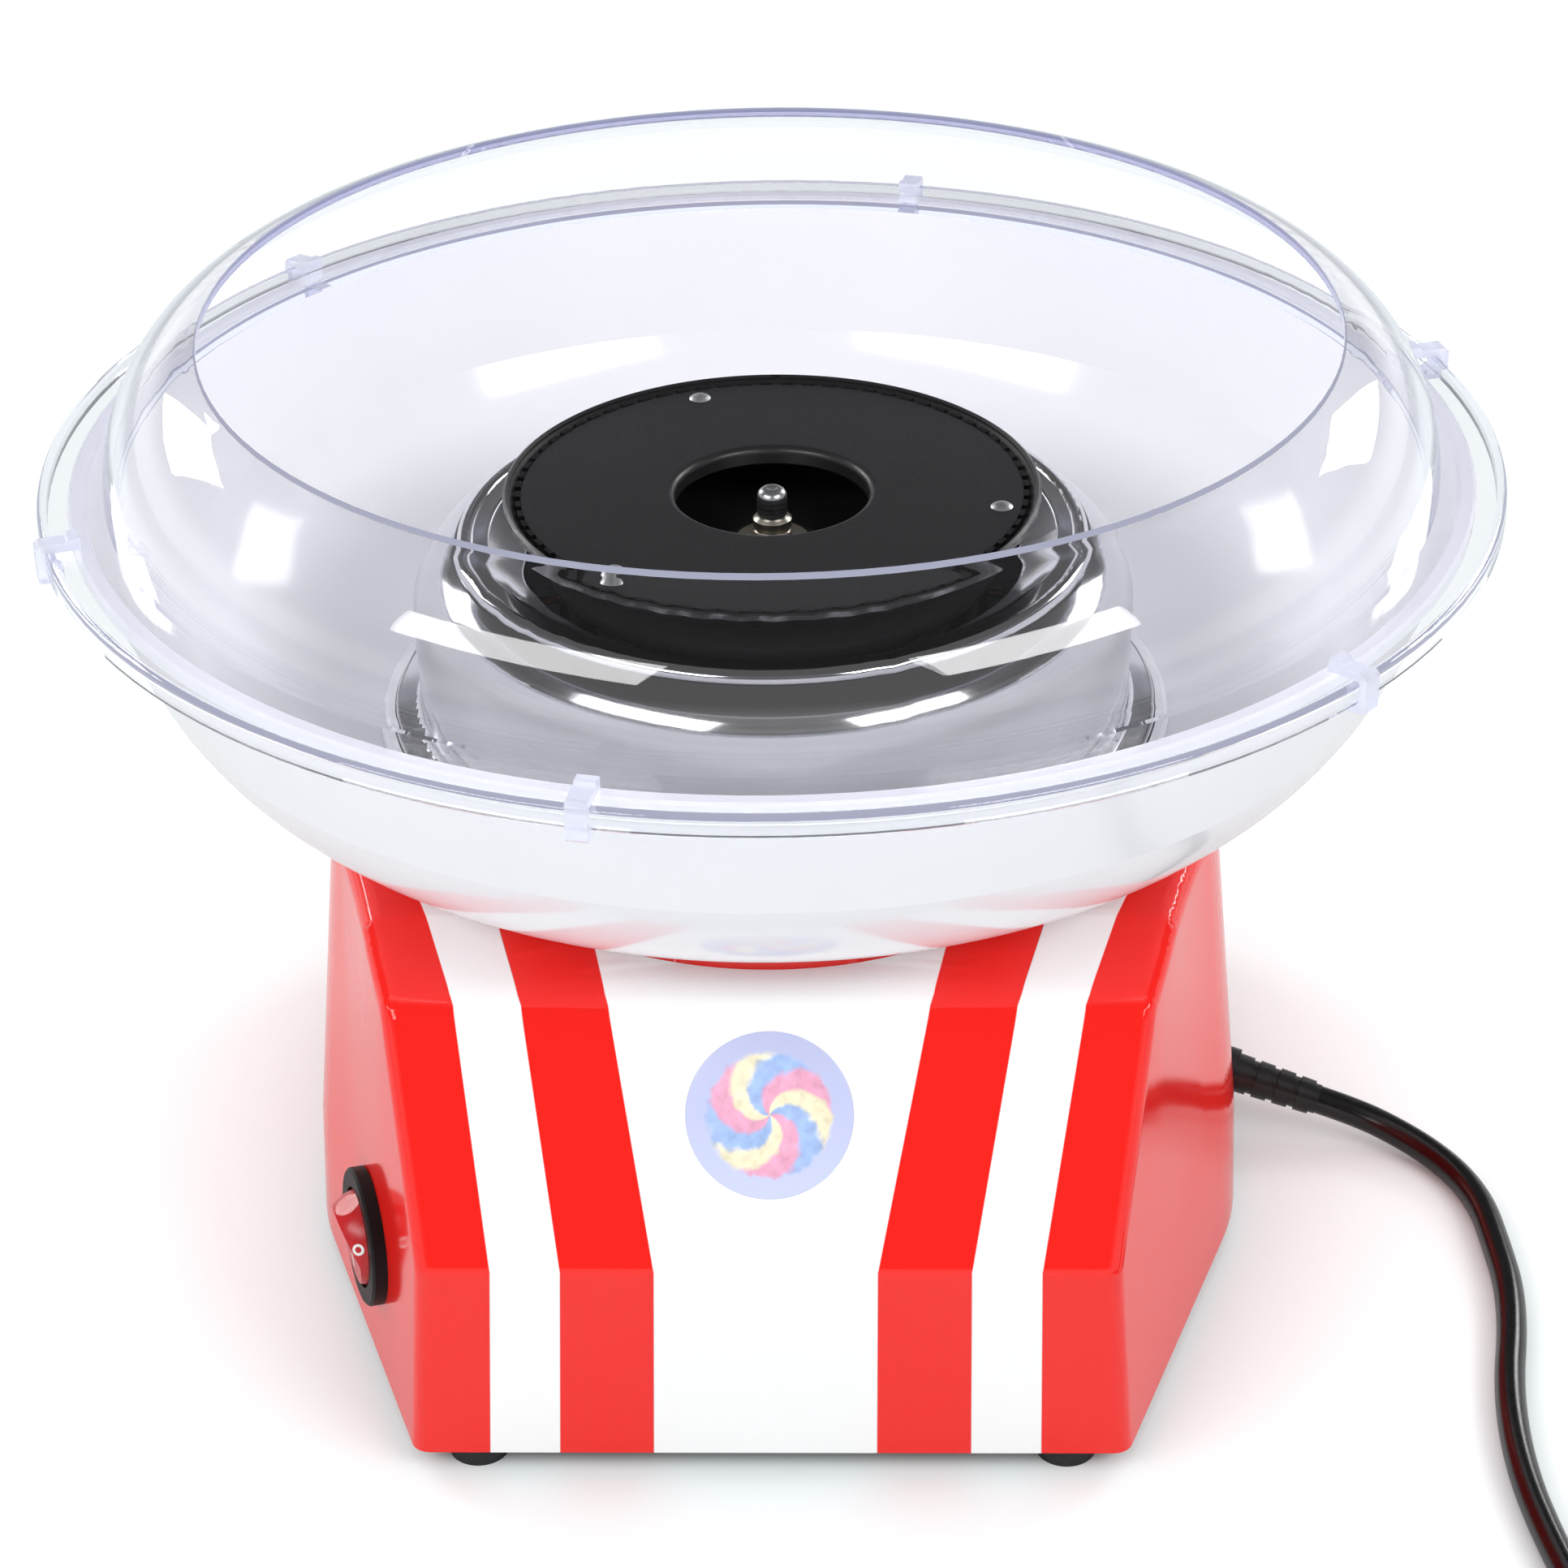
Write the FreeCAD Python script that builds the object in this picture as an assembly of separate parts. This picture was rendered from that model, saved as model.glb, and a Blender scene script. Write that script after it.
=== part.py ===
import FreeCAD, Part
import math
import os
from FreeCAD import Matrix, Placement, Rotation, Vector

# Table-top electric candy-floss machine. Millimetres, +Z up, front towards -Y.
# The origin is on the table, under the axis that the head spins about.

# ---- Driving dimensions ----
# Housing: a moulded shell, narrower in front, with a folded front of three panels
FOOT_HEIGHT = 5.0
HOUSING_HEIGHT = 98.0
HOUSING_HALF_WIDTH = 97.5
FRONT_HALF_WIDTH = 69.8
FRONT_Y = -111.5
REAR_Y = 98.0
CREASE_HEIGHT = 47.0
CREASE_LEAN = 4.5
KINK_DROP = 5.5
KINK_SETBACK = 25.0
DECK_SETBACK = 46.0
SIDE_SPLAY = 0.34
SIDE_DRAFT = 0.037
SIDE_BEND_RADIUS = 70.0
REAR_CORNER_RADIUS = 36.0
EDGE_RADIUS = 4.0
HOUSING_WALL = 2.5
DECK_THICKNESS = 2.5

# Spinning head; the shroud, the spigot and the bowl's seat are sized round it
HEAD_RADIUS = 54.0
HEAD_RISE = 8.5
HEAD_DEPTH = 18.8
HEAD_SHEET = 1.2
HEAD_RIM_HEIGHT = 1.5
HEAD_FLARE_WIDTH = 7.0
HEAD_FLARE_DROP = 4.7
HEAD_CHANNEL = 3.6
HEAD_HOLE_RADIUS = 19.5
HEAD_HOLE_ROLL = 3.6
HEAD_PLATE_DROP = 0.9
HEAD_BAND_WIDTH = 1.1
HEAD_BAND_DROP = 0.7
HEAD_BAND_SLOTS = 72
HEAD_BAND_SLOT_DEPTH = 0.8
RIVET_RADIUS = 1.6
RIVET_HEAD_RADIUS = 3.3
RIVET_INSET = 7.5
RIVET_FIRST_ANGLE = 110.0
HUB_DROP = 12.7
HUB_SLEEVE_RADIUS = 5.2
HUB_SLEEVE_LENGTH = 6.0
HUB_FLANGE_RADIUS = 7.5
HUB_FLANGE_THICKNESS = 1.2
HUB_COLLAR_RADIUS = 3.9
HUB_COLLAR_HEIGHT = 4.9

# Steel shroud round the heater
HEAD_CLEARANCE = 3.0
SHROUD_WALL = 1.0
SHROUD_SHOULDER = 15.8
SHROUD_HEIGHT = 40.0
SHROUD_FLANGE = 4.8
SHROUD_LIP = 2.6
SHROUD_FUNNEL_WIDTH = 7.5
SHROUD_FUNNEL_DROP = 5.2
SHROUD_STEP = 0.7
SHROUD_SCREW_COUNT = 3
SHROUD_SCREW_RADIUS = 1.0
SHROUD_SCREW_INSET = 1.7

# Spigot and seat for the bowl
SPIGOT_HEIGHT = 6.5
SPIGOT_WALL = 4.1
SEAT_WIDTH = 5.9
SEAT_HEIGHT = 3.0

# Bowl
BOWL_RIM_RADIUS = 139.0
BOWL_HEIGHT = 61.0
BOWL_WALL = 2.4
BOWL_KNEE_INSET = 12.0
BOWL_KNEE_HEIGHT = 32.8
BOWL_FLOOR_INSET = 8.8
BOWL_SEAT_GAP = 0.2
BOWL_COLLAR_CLEARANCE = 1.0
BOWL_COLLAR_HEIGHT = 6.5

# Splash shield
SHIELD_HEIGHT = 29.0
SHIELD_WALL = 2.0
SHIELD_ROOT_INSET = 7.0
SHIELD_CURVE_DEPTH = 26.0
SHIELD_MOUTH_DEPTH = 20.2
BRIM_OVERHANG = 6.0
BRIM_SKIRT = 4.5
BRIM_EDGE_RADIUS = 1.5
SHIELD_GAP = 0.3
CLIP_COUNT = 6
CLIP_FIRST_ANGLE = 18.0
CLIP_WIDTH = 4.0
CLIP_THICKNESS = 1.6
CLIP_HOOK_DROP = 1.8
CLIP_HOOK_REACH = 3.4
CLIP_PAD_INSET = 7.0

# Shaft and motor
SHAFT_RADIUS = 3.0
SHAFT_TIP_DROP = 0.5
RUNNING_CLEARANCE = 0.06
DRIVE_PIN_RADIUS = 1.0
DRIVE_PIN_LENGTH = 9.0
PIN_SLOT_PLAY = 0.2
MOTOR_DROP = 12.0
MOTOR_RADIUS = 19.0
MOTOR_LENGTH = 42.0
MOTOR_WALL = 1.2
MAGNET_THICKNESS = 2.0
ROTOR_GAP = 0.6
END_CAP_THICKNESS = 3.0
BUSHING_RADIUS = 5.0
BUSHING_LENGTH = 8.0
BRACKET_THICKNESS = 1.5
BRACKET_EAR = 18.0
BRACKET_LIP_GAP = 2.5
BRACKET_LIP = 7.0
BRACKET_HOLE_INSET = 7.0
DAMPER_THICKNESS = 2.0

# Heater
HEATER_INSET = 14.0
HEATER_RISE = 27.5
HEATER_TUBE_RADIUS = 3.5
HEATER_GAP_ANGLE = 24.0
PAN_GAP = 0.8
PAN_SHEET = 1.0
PAN_DEPTH = 5.0
POST_RADIUS = 4.5

# Floor of the machine
PLATE_THICKNESS = 2.5
PLATE_GAP = 0.3
FOOT_RADIUS = 6.7
FOOT_TAPER = 0.8
FOOT_WELL_DEPTH = 2.6
BOSS_RADIUS = 4.5
SCREW_RADIUS = 1.5
SCREW_LENGTH = 12.0
SCREW_HEAD_RADIUS = 2.8
SCREW_HEAD_HEIGHT = 1.6
VENT_SLOT_COUNT = 7
VENT_SLOT_LENGTH = 34.0
VENT_SLOT_WIDTH = 3.0
VENT_SLOT_PITCH = 7.0
VENT_BANK_X = 42.0

# Rocker switch on the left wall
SWITCH_SETBACK = 33.5
SWITCH_HEIGHT = 28.0
BEZEL_RADIUS = 14.0
BEZEL_HEIGHT = 3.0
SWITCH_WALL = 2.2
SWITCH_BODY_DEPTH = 16.0
ROCKER_RADIUS = 9.95
ROCKER_GAP = 0.25
ROCKER_END_Y = 8.3
ROCKER_END_HEIGHT = 5.7
ROCKER_CROWN_HEIGHT = 4.6
ROCKER_WELL_DEPTH = 7.0
ROCKER_PIN_RADIUS = 1.2
ROCKER_REST_TILT = 14.0

# Mains cord
CORD_DIAMETER = 6.2
CORD_FLOOR_GAP = 0.1
CORD_EXIT_Y = 10.6
CORD_EXIT_HEIGHT = 8.3
CORD_EXIT_DIRECTION = Vector(0.944, -0.25, -0.217)
RELIEF_LENGTH = 22.0
RELIEF_NECK_WALL = 1.1
RELIEF_SEAT = 1.4
RELIEF_RIBS = 4
COIL_CENTRE = Vector(198.0, -182.0, 0.0)
COIL_TURN_RADII = (40.6, 34.3, 28.0)
COIL_LAYER_RISE = 6.0
PLUG_START_Y = -156.0
PLUG_LENGTH = 34.0
PLUG_WIDTH = 26.0
PLUG_THICKNESS = 13.8
PLUG_RELIEF_LENGTH = 12.0
PIN_RADIUS = 2.0
PIN_LENGTH = 19.0
PIN_PITCH = 18.6

# ---- Places worked out from the above ----
DECK_Z = FOOT_HEIGHT + HOUSING_HEIGHT
CREASE_Y = FRONT_Y - CREASE_LEAN
CREASE_Z = FOOT_HEIGHT + CREASE_HEIGHT
KINK_Y = CREASE_Y + KINK_SETBACK
KINK_Z = DECK_Z - KINK_DROP
DECK_EDGE_Y = CREASE_Y + DECK_SETBACK
SHROUD_MOUTH_RADIUS = HEAD_RADIUS + HEAD_CLEARANCE
SHROUD_RADIUS = SHROUD_MOUTH_RADIUS + SHROUD_SHOULDER
SPIGOT_RADIUS = SHROUD_RADIUS + SHROUD_FLANGE
SEAT_RADIUS = SPIGOT_RADIUS + SEAT_WIDTH
SEAT_Z = DECK_Z + SEAT_HEIGHT
SPIGOT_Z = SEAT_Z + SPIGOT_HEIGHT
SHROUD_TOP_Z = SPIGOT_Z + SHROUD_HEIGHT
SHROUD_SCREW_CIRCLE = SPIGOT_RADIUS - SHROUD_SCREW_INSET
BOWL_Z = SEAT_Z + BOWL_SEAT_GAP
BOWL_RIM_Z = BOWL_Z + BOWL_HEIGHT
BRIM_RADIUS = BOWL_RIM_RADIUS + BRIM_OVERHANG
BRIM_TOP_Z = BOWL_RIM_Z + SHIELD_GAP + SHIELD_WALL
SHIELD_ROOT_RADIUS = BOWL_RIM_RADIUS - SHIELD_ROOT_INSET
HEAD_TOP_Z = SHROUD_TOP_Z + HEAD_RISE
HEAD_FLOOR_Z = HEAD_TOP_Z - HEAD_DEPTH
HEAD_PLATE_Z = HEAD_TOP_Z - HEAD_PLATE_DROP
HUB_SEAT_Z = HEAD_TOP_Z - HUB_DROP
HUB_BOTTOM_Z = HUB_SEAT_Z - HUB_SLEEVE_LENGTH
SHAFT_TOP_Z = HEAD_TOP_Z - SHAFT_TIP_DROP
SHAFT_HOLE_RADIUS = SHAFT_RADIUS * 3.0
MOTOR_TOP_Z = SEAT_Z - MOTOR_DROP
MOTOR_BOTTOM_Z = MOTOR_TOP_Z - MOTOR_LENGTH
BRACKET_TOP_Z = MOTOR_TOP_Z + BRACKET_THICKNESS
BRACKET_LENGTH = 2 * (MOTOR_RADIUS + BRACKET_EAR)
BRACKET_WIDTH = 2 * (MOTOR_RADIUS + BRACKET_LIP_GAP + BRACKET_THICKNESS)
HEATER_RING_RADIUS = HEAD_RADIUS - HEATER_INSET
HEATER_Z = SEAT_Z + HEATER_RISE
PAN_RADIUS = SHROUD_RADIUS - SHROUD_WALL - PAN_GAP
PLATE_TOP_Z = FOOT_HEIGHT + PLATE_THICKNESS
SWITCH_Y = FRONT_Y + SWITCH_SETBACK
SWITCH_Z = FOOT_HEIGHT + SWITCH_HEIGHT
WELL_RADIUS = ROCKER_RADIUS + ROCKER_GAP
SWITCH_BODY_RADIUS = WELL_RADIUS + SWITCH_WALL
CORD_EXIT = Vector(HOUSING_HALF_WIDTH - SIDE_DRAFT * CORD_EXIT_HEIGHT, CORD_EXIT_Y,
                   FOOT_HEIGHT + CORD_EXIT_HEIGHT)
RELIEF_NECK_RADIUS = CORD_DIAMETER / 2 + RELIEF_NECK_WALL
PLUG_CENTRE_X = COIL_CENTRE.x + COIL_TURN_RADII[0]

AXIS = Vector(0, 0, 1)
ORIGIN = Vector(0, 0, 0)
FRONT_FEET = [(side * (FRONT_HALF_WIDTH - 11.8), FRONT_Y + 7.9) for side in (-1, 1)]
REAR_FEET = [(side * (HOUSING_HALF_WIDTH - 23.5), REAR_Y - 26.0) for side in (-1, 1)]
PLATE_SCREWS = ([(side * (FRONT_HALF_WIDTH - 35.8), FRONT_Y + 13.5) for side in (-1, 1)]
                + [(side * (HOUSING_HALF_WIDTH - 57.5), REAR_Y - 12.0) for side in (-1, 1)])


# ---- Helpers ----
def save(name, solids):
    """Write one node: a solid, or a group of separate solids."""
    group = solids if isinstance(solids, list) else [solids]
    shape = group[0] if len(group) == 1 else Part.makeCompound(group)
    shape.exportStep(os.path.join("parts", name + ".step"))


def disc(radius, bottom, top, x=0.0, y=0.0):
    """An upright cylinder between two heights."""
    return Part.makeCylinder(radius, top - bottom, Vector(x, y, bottom), AXIS)


def tube(outer, inner, bottom, top, x=0.0, y=0.0):
    """An upright tube between two heights."""
    return disc(outer, bottom, top, x, y).cut(disc(inner, bottom - 1, top + 1, x, y))


def turned(*steps):
    """Revolve a closed outline about the axis.

    Each step is a point (radius, height), or a pair of points for an arc
    through the first to the second.
    """
    at = Vector(steps[0][0], 0, steps[0][1])
    first = at
    edges = []
    for step in steps[1:]:
        if isinstance(step[0], tuple):
            middle = Vector(step[0][0], 0, step[0][1])
            end = Vector(step[1][0], 0, step[1][1])
            edges.append(Part.Arc(at, middle, end).toShape())
        else:
            end = Vector(step[0], 0, step[1])
            edges.append(Part.LineSegment(at, end).toShape())
        at = end
    edges.append(Part.LineSegment(at, first).toShape())
    return Part.Face(Part.Wire(edges)).revolve(ORIGIN, AXIS, 360)


def around(solid, count, first_angle=0.0):
    """Copies of a solid, evenly spaced about the axis."""
    copies = []
    for index in range(count):
        copy = solid.copy()
        copy.rotate(ORIGIN, AXIS, first_angle + index * 360.0 / count)
        copies.append(copy)
    return copies


def cut_all(solid, tools):
    """Cut several tools from a solid."""
    return solid.cut(Part.makeCompound(tools))


def pan_screw(x, y, seat_z, length, up=True):
    """A pan-head screw: its shank goes up from the seat, or down."""
    way = 1.0 if up else -1.0
    direction = Vector(0, 0, way)
    base = Vector(x, y, seat_z)
    shank = Part.makeCylinder(SCREW_RADIUS, length, base, direction)
    head_base = Vector(x, y, seat_z - way * SCREW_HEAD_HEIGHT)
    head = Part.makeCylinder(SCREW_HEAD_RADIUS, SCREW_HEAD_HEIGHT, head_base, direction)
    return shank.fuse(head).removeSplitter()


# ---- Housing ----
def plan_outline(height, inset):
    """The housing's outline at a height, before its front is cut to shape."""
    shrink = SIDE_DRAFT * (height - FOOT_HEIGHT) + inset
    slant = math.hypot(1.0, SIDE_SPLAY)
    front_y = CREASE_Y - 2.0 + inset
    side_x = HOUSING_HALF_WIDTH - shrink
    front_x = FRONT_HALF_WIDTH + SIDE_SPLAY * (front_y - FRONT_Y) - shrink * slant
    bend_y = FRONT_Y + (side_x - FRONT_HALF_WIDTH + shrink * slant) / SIDE_SPLAY
    rear_y = REAR_Y - shrink
    half = [(front_x, front_y), (side_x, bend_y), (side_x, rear_y)]
    mirrored = [(-x, y) for x, y in reversed(half)]
    loop = half + mirrored + half[:1]
    return Part.makePolygon([Vector(x, y, height) for x, y in loop])


def plan_block(inset, bottom, top):
    """The drafted block inside the side walls, with its upright bends rounded."""
    block = Part.makeLoft([plan_outline(bottom, inset), plan_outline(top, inset)], True, True)
    uprights = [e for e in block.Edges if e.BoundBox.ZLength > 10]
    bends = [e for e in uprights if CREASE_Y + 1.0 < e.CenterOfMass.y < REAR_Y - REAR_CORNER_RADIUS]
    block = block.makeFillet(SIDE_BEND_RADIUS, bends)
    uprights = [e for e in block.Edges if e.BoundBox.ZLength > 10]
    corner_y = REAR_Y - REAR_CORNER_RADIUS / 2
    corners = [e for e in uprights if e.CenterOfMass.y > corner_y]
    return block.makeFillet(REAR_CORNER_RADIUS - inset, corners)


def side_profile(inset, bottom):
    """The housing seen from the side: three front panels, the deck and the back."""
    slope = -CREASE_LEAN / CREASE_HEIGHT
    back_y = REAR_Y + 5.0
    points = [
        (FRONT_Y + slope * (bottom - FOOT_HEIGHT), bottom),
        (CREASE_Y, CREASE_Z),
        (KINK_Y, KINK_Z),
        (DECK_EDGE_Y, DECK_Z),
        (back_y, DECK_Z),
        (back_y, bottom),
    ]
    half_width = HOUSING_HALF_WIDTH + 10.0
    wire = Part.makePolygon([Vector(-half_width, y, z) for y, z in points + points[:1]])
    face = Part.Face(wire)
    if inset:
        face = face.makeOffset2D(-inset, join=2)
    return face.extrude(Vector(2 * half_width, 0, 0))


def housing_body():
    """The outside of the shell, solid, with every outer edge rounded."""
    block = plan_block(0.0, FOOT_HEIGHT, DECK_Z + 5.0)
    body = block.common(side_profile(0.0, FOOT_HEIGHT))
    edges = []
    for edge in body.Edges:
        box = edge.BoundBox
        on_foot = box.ZMax < FOOT_HEIGHT + 0.1
        seam = box.ZMin < FOOT_HEIGHT + 0.1 and box.YMin > KINK_Y
        if not on_foot and not seam:
            edges.append(edge)
    return body.makeFillet(EDGE_RADIUS, edges)


def housing_cavity(inset):
    """The space inside the shell's wall, open at the foot."""
    below = FOOT_HEIGHT - 10.0
    block = plan_block(inset, below, DECK_Z + 5.0)
    return block.common(side_profile(inset, below))


def housing():
    """Shell with the bowl's seat and spigot, screw bosses and cut-outs."""
    outside = housing_body()
    cavity = housing_cavity(HOUSING_WALL)
    seat = disc(SEAT_RADIUS, DECK_Z - 15.0, SEAT_Z)
    body = outside.fuse(seat)
    body = body.cut(cavity)
    recess = disc(SEAT_RADIUS - HOUSING_WALL - 1.0, DECK_Z - 16.0, SEAT_Z - DECK_THICKNESS)
    body = body.cut(recess.common(space_under_deck()))
    spigot = tube(SPIGOT_RADIUS, SPIGOT_RADIUS - SPIGOT_WALL, SEAT_Z - 0.5, SPIGOT_Z)
    body = body.fuse(spigot)
    body = body.fuse(Part.makeCompound(plate_bosses(outside) + bracket_bosses()))
    body = cut_all(body, housing_holes())
    return body.removeSplitter()


def space_under_deck():
    """The part of the recess that stays under the deck, clear of the front panels."""
    half_width = HOUSING_HALF_WIDTH + 10.0
    front = DECK_EDGE_Y + HOUSING_WALL
    depth = REAR_Y - front
    return Part.makeBox(2 * half_width, depth, 60.0, Vector(-half_width, front, DECK_Z - 50.0))


def plate_bosses(outside):
    """Tall bosses inside the shell that the bottom plate is screwed to."""
    bosses = []
    for x, y in PLATE_SCREWS:
        boss = disc(BOSS_RADIUS, PLATE_TOP_Z, DECK_Z - 1.0, x, y)
        bosses.append(boss.common(outside))
    return bosses


def bracket_bosses():
    """Short bosses under the deck that the motor bracket is screwed to."""
    bottom = BRACKET_TOP_Z + DAMPER_THICKNESS
    top = SEAT_Z - 1.0
    bosses = []
    for x, y in bracket_points():
        bosses.append(disc(BOSS_RADIUS, bottom, top, x, y))
    return bosses


def housing_holes():
    """Screw holes, shaft hole, heater leads, switch hole and cord hole."""
    hole = SCREW_RADIUS + RUNNING_CLEARANCE
    tools = [disc(hole, PLATE_TOP_Z - 1.0, PLATE_TOP_Z + SCREW_LENGTH, x, y) for x, y in PLATE_SCREWS]
    tools += [disc(hole, BRACKET_TOP_Z, BRACKET_TOP_Z + 8.0, x, y) for x, y in bracket_points()]
    tools.append(disc(SHAFT_HOLE_RADIUS, DECK_Z - 5.0, SEAT_Z + 1.0))
    for x, y in heater_leads():
        tools.append(disc(HEATER_TUBE_RADIUS + 1.0, DECK_Z - 5.0, SEAT_Z + 1.0, x, y))
    shroud_hole = disc(SHROUD_SCREW_RADIUS, SPIGOT_Z - SPIGOT_HEIGHT, SPIGOT_Z + 1.0, SHROUD_SCREW_CIRCLE)
    tools += around(shroud_hole, SHROUD_SCREW_COUNT, 30.0)
    tools.append(switch_placed(Part.makeCylinder(SWITCH_BODY_RADIUS + 0.2, 30.0, Vector(0, 0, -20.0))))
    neck = Part.makeCylinder(RELIEF_NECK_RADIUS + RUNNING_CLEARANCE, 20.0, Vector(0, 0, -12.0))
    tools.append(relief_placed(neck))
    return tools


# ---- Bottom plate and feet ----
def base_plate():
    """Flat plate that closes the shell, with two banks of cooling slots."""
    slab = Part.makeBox(300.0, 300.0, PLATE_THICKNESS, Vector(-150.0, -150.0, FOOT_HEIGHT))
    plate = housing_cavity(HOUSING_WALL + PLATE_GAP).common(slab)
    tools = [disc(SCREW_RADIUS + 0.1, FOOT_HEIGHT - 1, PLATE_TOP_Z + 1, x, y)
             for x, y in PLATE_SCREWS + FRONT_FEET + REAR_FEET]
    for side in (-1, 1):
        for index in range(VENT_SLOT_COUNT):
            y = (index - (VENT_SLOT_COUNT - 1) / 2) * VENT_SLOT_PITCH
            tools.append(vent_slot(side * VENT_BANK_X, y))
    return cut_all(plate, tools)


def vent_slot(x, y):
    """A slot with round ends, along X."""
    half = (VENT_SLOT_LENGTH - VENT_SLOT_WIDTH) / 2
    corner = Vector(x - half, y - VENT_SLOT_WIDTH / 2, FOOT_HEIGHT - 1)
    slot = Part.makeBox(2 * half, VENT_SLOT_WIDTH, PLATE_THICKNESS + 2, corner)
    for end in (x - half, x + half):
        slot = slot.fuse(disc(VENT_SLOT_WIDTH / 2, FOOT_HEIGHT - 1, PLATE_TOP_Z + 1, end, y))
    return slot


def foot(x, y):
    """Rubber foot, wider at its top, with a well for its screw."""
    taper_top = FOOT_HEIGHT - 1.0
    body = Part.makeCone(FOOT_RADIUS - FOOT_TAPER, FOOT_RADIUS, taper_top, Vector(x, y, 0), AXIS)
    body = body.fuse(disc(FOOT_RADIUS, taper_top, FOOT_HEIGHT, x, y))
    body = body.cut(disc(SCREW_HEAD_RADIUS + 0.3, -1.0, FOOT_WELL_DEPTH, x, y))
    return body.cut(disc(SCREW_RADIUS + 0.1, -1.0, FOOT_HEIGHT + 1.0, x, y)).removeSplitter()


def foot_screws():
    """One screw up through each foot into the bottom plate."""
    length = PLATE_TOP_Z + 1.0 - FOOT_WELL_DEPTH
    return [pan_screw(x, y, FOOT_WELL_DEPTH, length) for x, y in FRONT_FEET + REAR_FEET]


def plate_screws():
    """One screw up through the bottom plate into each tall boss."""
    return [pan_screw(x, y, FOOT_HEIGHT, SCREW_LENGTH) for x, y in PLATE_SCREWS]


# ---- Motor ----
def motor_can():
    """Drawn steel can with a pierced top."""
    lid_z = MOTOR_TOP_Z - MOTOR_WALL
    can = tube(MOTOR_RADIUS, MOTOR_RADIUS - MOTOR_WALL, MOTOR_BOTTOM_Z, lid_z)
    lid = tube(MOTOR_RADIUS, BUSHING_RADIUS, lid_z, MOTOR_TOP_Z)
    return can.fuse(lid).removeSplitter()


def motor_end_cap():
    """Plastic cap under the can, with a boss for the lower bushing."""
    top = MOTOR_BOTTOM_Z
    thick = END_CAP_THICKNESS
    cap = disc(MOTOR_RADIUS, top - thick, top)
    cap = cap.fuse(disc(MOTOR_RADIUS - MOTOR_WALL - 0.05, top, top + thick))
    cap = cap.fuse(disc(BUSHING_RADIUS + 2.5, top - 2 * thick, top))
    return cap.cut(disc(BUSHING_RADIUS, top - 3 * thick, top + 2 * thick)).removeSplitter()


def motor_bushings():
    """Sintered bushings that the shaft runs in."""
    bore = SHAFT_RADIUS + RUNNING_CLEARANCE
    bottom = MOTOR_BOTTOM_Z - 2 * END_CAP_THICKNESS
    lower = tube(BUSHING_RADIUS, bore, bottom, bottom + BUSHING_LENGTH)
    upper = tube(BUSHING_RADIUS, bore, BRACKET_TOP_Z - BUSHING_LENGTH, BRACKET_TOP_Z)
    return [lower, upper]


def motor_magnets():
    """Two curved magnets on the can's wall."""
    outer = MOTOR_RADIUS - MOTOR_WALL
    bottom = MOTOR_BOTTOM_Z + 8.0
    ring = tube(outer, outer - MAGNET_THICKNESS, bottom, MOTOR_TOP_Z - 8.0)
    half_gap = 6.0
    gap = Part.makeBox(2 * half_gap, 2 * MOTOR_RADIUS, MOTOR_LENGTH,
                       Vector(-half_gap, -MOTOR_RADIUS, bottom - 1))
    return ring.cut(gap).Solids


def rotor():
    """Laminated rotor with five poles."""
    radius = MOTOR_RADIUS - MOTOR_WALL - MAGNET_THICKNESS - ROTOR_GAP
    bottom = MOTOR_BOTTOM_Z + 10.0
    top = MOTOR_TOP_Z - 10.0
    core = tube(radius, SHAFT_RADIUS, bottom, top)
    slot_width = 3.0
    slot = Part.makeBox(radius, slot_width, top - bottom + 2, Vector(radius / 2, -slot_width / 2, bottom - 1))
    return cut_all(core, around(slot, 5))


def commutator():
    """Copper commutator under the rotor."""
    radius = SHAFT_RADIUS + 2.3
    bottom = MOTOR_BOTTOM_Z + 4.0
    ring = tube(radius, SHAFT_RADIUS, bottom, bottom + 5.5)
    slot_width = 0.6
    slot = Part.makeBox(3.0, slot_width, 8.0, Vector(radius - 1.1, -slot_width / 2, bottom - 1))
    return cut_all(ring, around(slot, 5))


def motor_bracket():
    """Pressed plate with two turned-down lips, which hangs the motor under the deck."""
    half_x = BRACKET_LENGTH / 2
    half_y = BRACKET_WIDTH / 2
    corner = Vector(-half_x, -half_y, MOTOR_TOP_Z)
    plate = Part.makeBox(BRACKET_LENGTH, BRACKET_WIDTH, BRACKET_THICKNESS, corner)
    uprights = [e for e in plate.Edges if e.BoundBox.ZLength > BRACKET_THICKNESS - 0.1]
    plate = plate.makeFillet(6.0, uprights)
    lip_inset = 10.0
    for y in (-half_y, half_y - BRACKET_THICKNESS):
        lip_corner = Vector(-half_x + lip_inset, y, BRACKET_TOP_Z - BRACKET_LIP)
        lip = Part.makeBox(BRACKET_LENGTH - 2 * lip_inset, BRACKET_THICKNESS, BRACKET_LIP, lip_corner)
        plate = plate.fuse(lip)
    tools = [disc(BUSHING_RADIUS, MOTOR_TOP_Z - 1, BRACKET_TOP_Z + 1)]
    for x, y in bracket_points():
        tools.append(disc(SCREW_RADIUS + 0.1, MOTOR_TOP_Z - 1, BRACKET_TOP_Z + 1, x, y))
    return cut_all(plate.removeSplitter(), tools)


def bracket_points():
    """Where the bracket is screwed to the deck."""
    half_x = BRACKET_LENGTH / 2 - BRACKET_HOLE_INSET
    half_y = BRACKET_WIDTH / 2 - BRACKET_HOLE_INSET
    return [(x, y) for x in (-half_x, half_x) for y in (-half_y, half_y)]


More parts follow.
